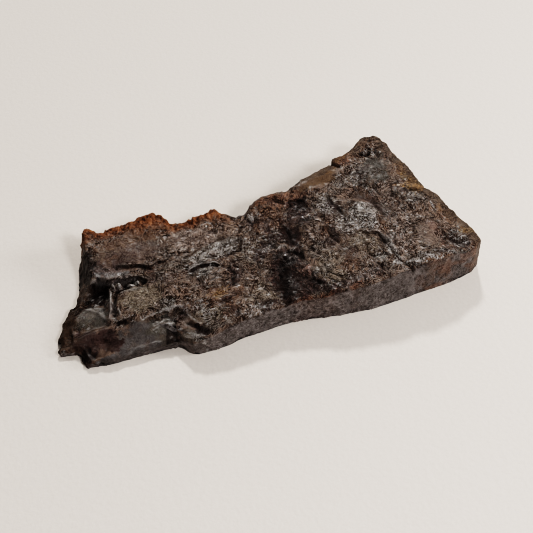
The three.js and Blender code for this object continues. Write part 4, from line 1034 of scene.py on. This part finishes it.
# A noise texture of a size in millimetres, read at a place.
def noiseNode(tree, where, size, detail, roughness=0.5, distortion=0.0):
    texture = tree.nodes.new("ShaderNodeTexNoise")
    texture.inputs["Scale"].default_value = 1 / (size * millimetre)
    texture.inputs["Detail"].default_value = detail
    texture.inputs["Roughness"].default_value = roughness
    texture.inputs["Distortion"].default_value = distortion
    tree.links.new(where, texture.inputs["Vector"])
    return texture


# Two colours mixed by an amount; each is a fixed value or another node's output.
def mixNode(tree, amount, under, over):
    node = tree.nodes.new("ShaderNodeMix")
    node.data_type = "RGBA"
    tree.links.new(amount, node.inputs[0])
    for socket, value in ((node.inputs[6], under), (node.inputs[7], over)):
        if isinstance(value, tuple):
            socket.default_value = value
        else:
            tree.links.new(value, socket)
    return node.outputs[2]


# A bump of a height in millimetres.
def bumpNode(tree, height, millimetres):
    bump = tree.nodes.new("ShaderNodeBump")
    bump.inputs["Distance"].default_value = millimetres * millimetre
    tree.links.new(height, bump.inputs["Height"])
    return bump.outputs[0]


# What a user would change on the skin.  Sizes in millimetres.
skin = {
    "granule": 0.3, "granuleDark": -0.4, "granuleBright": 0.28,
    "grain": 0.19, "grainDark": -0.4, "grainBright": 0.38, "paleGrain": 0.6, "darkest": -0.92,
    "draw": 0.32, "fields": 4.5,
    # mottle is random tone; the crease and crest shares paint shade into the creases and light onto the
    # crests
    "mottle": 1.3, "mottleDark": 0.86, "mottleBright": 1.14, "creasePaintedShade": 0.4, "crestPaintedLight": 1.15,
    # the lines and cracks paint shade, the lip paints a highlight beside each crack
    "squiggle": 1.0, "squiggleWidth": 0.065, "hairline": 0.34, "hairlineWidth": 0.05, "lineDeep": 0.95,
    "crack": 2.2, "crackWidth": 0.026, "crackBreaks": 3.4, "lipPale": 0.8,
    # the strokes, their colour and the pale grain paint glints
    "breaks": 1.6, "stroke": 0.36, "strokeWidth": 0.07, "strokeBreaks": 0.9,
    "strokeLow": 0.06, "strokeHigh": 1.0, "strokeColour": (0.36, 0.34, 0.33, 1),
    "lineColour": (0.012, 0.006, 0.004, 1),
    "swirl": 2.4, "push": 3.4, "bumpHeight": 0.1, "grainBump": 0.8, "lineBump": 0.7, "strokeBump": 0.4,
    "deepHides": 0.42,
    "index": 1.33, "shine": 0.25, "roughness": 0.7, "coatRoughness": 0.2, "coatIndex": 1.6,
}


# The skin's material: granules and grain drawn out in swirling fields over the colour, dark lines and cracks
# of painted shade, painted glints as pale strokes and flecks where it is glossy, and a thin glaze that is
# bare in the creases.
def slabMaterial():
    material, tree, shader = newMaterial("weathered_skin")
    nodes, links = tree.nodes, tree.links
    place = nodes.new("ShaderNodeTexCoord").outputs["Object"]

    # noise of a size in millimetres, on the slab's own place unless told otherwise
    def noise(size, detail, roughness, distortion=0.0, where=place):
        return noiseNode(tree, where, size, detail, roughness, distortion).outputs["Fac"]

    # arithmetic on two values, each a number or another node's output
    def maths(operation, first, second, clamp=False):
        node = nodes.new("ShaderNodeMath")
        node.operation = operation
        node.use_clamp = clamp
        for socket, value in zip(node.inputs, (first, second)):
            if isinstance(value, (int, float)):
                socket.default_value = value
            else:
                links.new(value, socket)
        return node.outputs[0]

    # the product of all the factors
    def times(*factors):
        product = factors[0]
        for factor in factors[1:]:
            product = maths("MULTIPLY", product, factor)
        return product

    # a smooth climb from one range to another
    def remap(value, low, high, toLow, toHigh):
        node = nodes.new("ShaderNodeMapRange")
        node.interpolation_type = "SMOOTHSTEP"
        links.new(value, node.inputs["Value"])
        for name, number in (("From Min", low), ("From Max", high), ("To Min", toLow), ("To Max", toHigh)):
            node.inputs[name].default_value = number
        return node.outputs["Result"]

    # a number or colour that the mesh carries
    def attribute(name, output="Fac"):
        node = nodes.new("ShaderNodeAttribute")
        node.attribute_name = name
        return node.outputs[output]

    # a vector operation: each further input is a fixed value or another node's output
    def vectorMaths(operation, *values):
        node = nodes.new("ShaderNodeVectorMath")
        node.operation = operation
        for socket, value in zip(node.inputs, values):
            if isinstance(value, tuple):
                socket.default_value = value
            else:
                links.new(value, socket)
        return node

    # thin dark lines where a noise crosses its middle value
    def creases(value, width):
        return remap(maths("ABSOLUTE", maths("SUBTRACT", value, 0.5), 0), 0.0, width, 1.0, 0.0)

    # the place pushed about by a broad noise, so that what reads it swirls
    swirl = noiseNode(tree, place, skin["swirl"], 1.0).outputs["Color"]
    centred = vectorMaths("SUBTRACT", swirl, (0.5, 0.5, 0.5)).outputs["Vector"]
    push = (skin["push"] * millimetre,) * 3
    swirled = vectorMaths("MULTIPLY_ADD", centred, push, place).outputs["Vector"]

    # noise drawn out one way in some fields and the other way in others
    lengthwise = vectorMaths("MULTIPLY", swirled, (skin["draw"], 1, 1)).outputs["Vector"]
    crosswise = vectorMaths("MULTIPLY", swirled, (1, skin["draw"], 1)).outputs["Vector"]
    turned = remap(noise(skin["fields"], 2.0, 0.5), 0.46, 0.54, 0.0, 1.0)

    # the two drawn-out noises, each where its field is
    def streaked(size):
        one, other = noise(size, 1.0, 0.5, 0.3, lengthwise), noise(size, 1.0, 0.5, 0.3, crosswise)
        return maths("ADD", times(one, turned), times(other, maths("SUBTRACT", 1.0, turned)))

    crest, grit, gloss, deep = (attribute(name) for name in ("crest", "grit", "gloss", "deep"))
    granules = streaked(skin["granule"])
    fine = streaked(skin["grain"])
    mottle = noise(skin["mottle"], 4.0, 0.65)

    # dark lines in two sizes: painted shade in fine cracks and creases
    broken = remap(noise(skin["breaks"], 2.0, 0.5), 0.4, 0.55, 0.15, 1.0)
    thin = times(creases(streaked(skin["hairline"]), skin["hairlineWidth"]), broken)
    squiggles = creases(noise(skin["squiggle"], 2.0, 0.5, 0.3, swirled), skin["squiggleWidth"])
    lines = times(maths("MAXIMUM", squiggles, thin), broken, grit)

    # longer cracks of painted shade, each with a painted highlight as a paler lip along one side
    crackNoise = noise(skin["crack"], 3.0, 0.6, 0.5, swirled)
    opened = remap(noise(skin["crackBreaks"], 2.0, 0.5), 0.44, 0.54, 0.0, 1.0)
    cracks = times(creases(crackNoise, skin["crackWidth"]), opened, grit)
    lines = maths("MAXIMUM", lines, cracks)
    lip = maths("SUBTRACT", maths("SUBTRACT", crackNoise, 0.5), skin["crackWidth"] * 1.5)
    lip = remap(maths("ABSOLUTE", lip, 0), 0.0, skin["crackWidth"], 1.0, 0.0)
    lip = times(lip, opened, grit)

    # painted glints: pale strokes on the crests, and the cracks' pale lips
    glintStrokes = creases(streaked(skin["stroke"]), skin["strokeWidth"])
    glintStrokes = times(glintStrokes, remap(noise(skin["strokeBreaks"], 2.0, 0.5), 0.42, 0.58, 0.0, 1.0))
    glintStrokes = times(glintStrokes, grit, remap(crest, 0.3, 0.7, 0.0, 1.0))
    glintStrokes = maths("MAXIMUM", glintStrokes, times(lip, skin["lipPale"]))

    # the colour, lighter and darker by grain and mottle, with painted shade in the creases and painted light
    # on the crests
    speckle = maths("ADD", remap(granules, 0.38, 0.62, skin["granuleDark"], skin["granuleBright"]),
                    remap(fine, 0.36, 0.64, skin["grainDark"], skin["grainBright"]))
    speckle = maths("MAXIMUM", times(grit, speckle), skin["darkest"])
    mottled = remap(mottle, 0.35, 0.65, skin["mottleDark"], skin["mottleBright"])
    shade = times(maths("ADD", 1.0, speckle), mottled)
    shade = times(shade, remap(crest, 0.15, 0.95, skin["creasePaintedShade"], skin["crestPaintedLight"]))
    tinted = vectorMaths("SCALE", attribute("skin", "Color"))
    links.new(shade, tinted.inputs["Scale"])

    # painted glints: pale grains and strokes, paler where the skin is glossy, then the dark lines of painted
    # shade over them
    shadowed = maths("SUBTRACT", 1.0, times(deep, skin["deepHides"]))
    sheen = times(remap(gloss, 0.1, 0.9, skin["strokeLow"], skin["strokeHigh"]), shadowed)
    glintFlecks = times(remap(fine, 0.5, 0.7, 0.0, skin["paleGrain"]), grit)
    glintFlecks = maths("MAXIMUM", times(glintFlecks, remap(gloss, 0.1, 0.8, 0.08, 1.0)), times(glintStrokes, sheen))
    toned = mixNode(tree, glintFlecks, tinted.outputs["Vector"], skin["strokeColour"])
    toned = mixNode(tree, times(lines, skin["lineDeep"]), toned, skin["lineColour"])
    links.new(toned, shader.inputs["Base Color"])

    # black metal fills the creases and the shadows, so that they do not shine
    hidden = maths("MAXIMUM", lines, remap(crest, 0.1, 0.45, 0.9, 0.0))
    hidden = maths("MAXIMUM", hidden, deep)
    links.new(times(hidden, remap(glintStrokes, 0.2, 0.8, 1.0, 0.4)), shader.inputs["Metallic"])

    # a thin glaze, bare in the creases
    glaze = times(gloss, remap(crest, 0.3, 0.7, 0.0, 1.0))
    links.new(maths("MULTIPLY", glaze, remap(lines, 0.0, 0.6, 1.0, 0.0), True), shader.inputs["Coat Weight"])
    shader.inputs["Coat Roughness"].default_value = skin["coatRoughness"]
    shader.inputs["Coat IOR"].default_value = skin["coatIndex"]
    shader.inputs["Roughness"].default_value = skin["roughness"]
    shader.inputs["IOR"].default_value = skin["index"]
    shader.inputs["Specular IOR Level"].default_value = skin["shine"]

    # grain, lines and strokes as bump
    grain = times(maths("ADD", granules, times(fine, skin["grainBump"])), grit)
    grain = maths("SUBTRACT", grain, times(lines, skin["lineBump"]))
    grain = maths("ADD", grain, times(glintStrokes, skin["strokeBump"]))
    bump = bumpNode(tree, grain, skin["bumpHeight"])
    links.new(bump, shader.inputs["Normal"])
    links.new(bump, shader.inputs["Coat Normal"])
    return material


# What a user would change on the stage.  Lengths in metres, felt and fibres in millimetres, angles in
# degrees.
stage = {
    "paperHalf": 2.0, "feltSize": 1.0, "feltHeight": 0.06, "fibreSize": 0.5, "paperRoughness": 0.9,
    "paperDark": (0.82, 0.735, 0.66, 1), "paperPale": (0.90, 0.805, 0.72, 1),
    "cameraTurn": -20.0, "cameraRise": 48.0, "cameraDistance": 0.185, "cameraLens": 70.0,
    "lookHeight": 0.003, "filterWidth": 1.0,
    "skyDirection": (0.15, 0.66, 0.74), "skyFrom": 0.3, "skyHigh": 0.376, "roomSeen": 0.8,
    "skyColour": (1.0, 0.975, 0.945, 1),
}

# The lamps: direction they shine from, distance and size in metres, watts, colour.
lamps = {
    "key_lamp": ((0.266, 0.730, 0.629), 1.2, 0.12, 11.0, (1.0, 0.965, 0.92)),
    "front_lamp": ((0.336, -0.635, 0.695), 0.35, 0.07, 0.613, (1.0, 0.98, 0.965)),
    "side_lamp": ((0.89, -0.255, 0.384), 0.35, 0.12, 0.857, (1.0, 0.98, 0.96)),
}


# Pale paper: two close tones mixed by fine fibres, and a faint felt as bump.
def paperMaterial():
    material, tree, shader = newMaterial("pale_paper")
    shader.inputs["Roughness"].default_value = stage["paperRoughness"]
    place = tree.nodes.new("ShaderNodeTexCoord").outputs["Object"]
    fibres = noiseNode(tree, place, stage["fibreSize"], 3.0).outputs["Fac"]
    tone = mixNode(tree, fibres, stage["paperDark"], stage["paperPale"])
    tree.links.new(tone, shader.inputs["Base Color"])
    felt = noiseNode(tree, place, stage["feltSize"], 2.0).outputs["Fac"]
    tree.links.new(bumpNode(tree, felt, stage["feltHeight"]), shader.inputs["Normal"])
    return material


# A flat square of paper under the slab.
def buildPaper():
    half = stage["paperHalf"]
    points = np.array([(-half, -half, 0), (half, -half, 0), (half, half, 0), (-half, half, 0)], float)
    paper = meshObject("paper_floor", points, np.array([[0, 1, 2, 3]]), np.zeros((0, 3), int))
    paper.data.materials.append(paperMaterial())


# Rotation that turns -Z towards the origin from a direction.
def toTrack(way):
    return Vector(way).to_track_quat("Z", "Y").to_euler()


# A round light that looks at the origin from a direction.
def softLight(name, direction, distance, size, power, colour):
    lamp = bpy.data.lights.new(name, "AREA")
    lamp.shape = "DISK"
    lamp.size = size
    lamp.energy = power
    lamp.color = colour
    holder = bpy.data.objects.new(name, lamp)
    way = np.array(direction) / np.linalg.norm(direction)
    holder.location = way * distance
    holder.rotation_euler = toTrack(way)
    bpy.context.scene.collection.objects.link(holder)


# The lamps, and a soft room that is brighter high up behind the slab than towards the camera.  Where the
# camera sees the room itself, it is pale all over.
def buildLights():
    for name, lamp in lamps.items():
        softLight(name, *lamp)
    world = bpy.data.worlds.new("soft_room")
    world.use_nodes = True
    nodes, links = world.node_tree.nodes, world.node_tree.links
    sky = nodes["Background"]
    sky.inputs[0].default_value = stage["skyColour"]
    way = nodes.new("ShaderNodeTexCoord")
    facing = nodes.new("ShaderNodeVectorMath")
    facing.operation = "DOT_PRODUCT"
    facing.inputs[1].default_value = stage["skyDirection"]
    strength = nodes.new("ShaderNodeMapRange")
    strength.interpolation_type = "SMOOTHSTEP"
    strength.inputs["From Min"].default_value = stage["skyFrom"]
    strength.inputs["From Max"].default_value = 1.0
    strength.inputs["To Min"].default_value = 0.0
    strength.inputs["To Max"].default_value = stage["skyHigh"]
    seen = nodes.new("ShaderNodeLightPath")
    shown = nodes.new("ShaderNodeMath")
    shown.operation = "MULTIPLY_ADD"
    shown.inputs[1].default_value = stage["roomSeen"]
    links.new(way.outputs["Generated"], facing.inputs[0])
    links.new(facing.outputs["Value"], strength.inputs["Value"])
    links.new(seen.outputs["Is Camera Ray"], shown.inputs[0])
    links.new(strength.outputs["Result"], shown.inputs[2])
    links.new(shown.outputs["Value"], sky.inputs[1])
    bpy.context.scene.world = world


# The camera, turned and raised about a point a little above the paper.
def buildCamera(middle):
    turn, rise = math.radians(stage["cameraTurn"]), math.radians(stage["cameraRise"])
    way = np.array([math.sin(turn) * math.cos(rise), -math.cos(turn) * math.cos(rise), math.sin(rise)])
    target = np.array([-middle[0] * millimetre, -middle[1] * millimetre, stage["lookHeight"]])
    lens = bpy.data.cameras.new("camera")
    lens.lens = stage["cameraLens"]
    lens.sensor_width = 36.0
    lens.clip_start = 0.01
    camera = bpy.data.objects.new("camera", lens)
    camera.location = target + way * stage["cameraDistance"]
    camera.rotation_euler = toTrack(way)
    bpy.context.scene.collection.objects.link(camera)
    bpy.context.scene.camera = camera


stone, middle = buildSlab()
stone.data.materials.append(slabMaterial())
buildPaper()
buildLights()
buildCamera(middle)
view = bpy.context.scene.view_settings
view.view_transform = "Filmic"
view.look = "High Contrast"
bpy.context.scene.cycles.filter_width = stage["filterWidth"]  # narrow, so that the grain stays crisp
print("stage: paper, lights and camera placed")
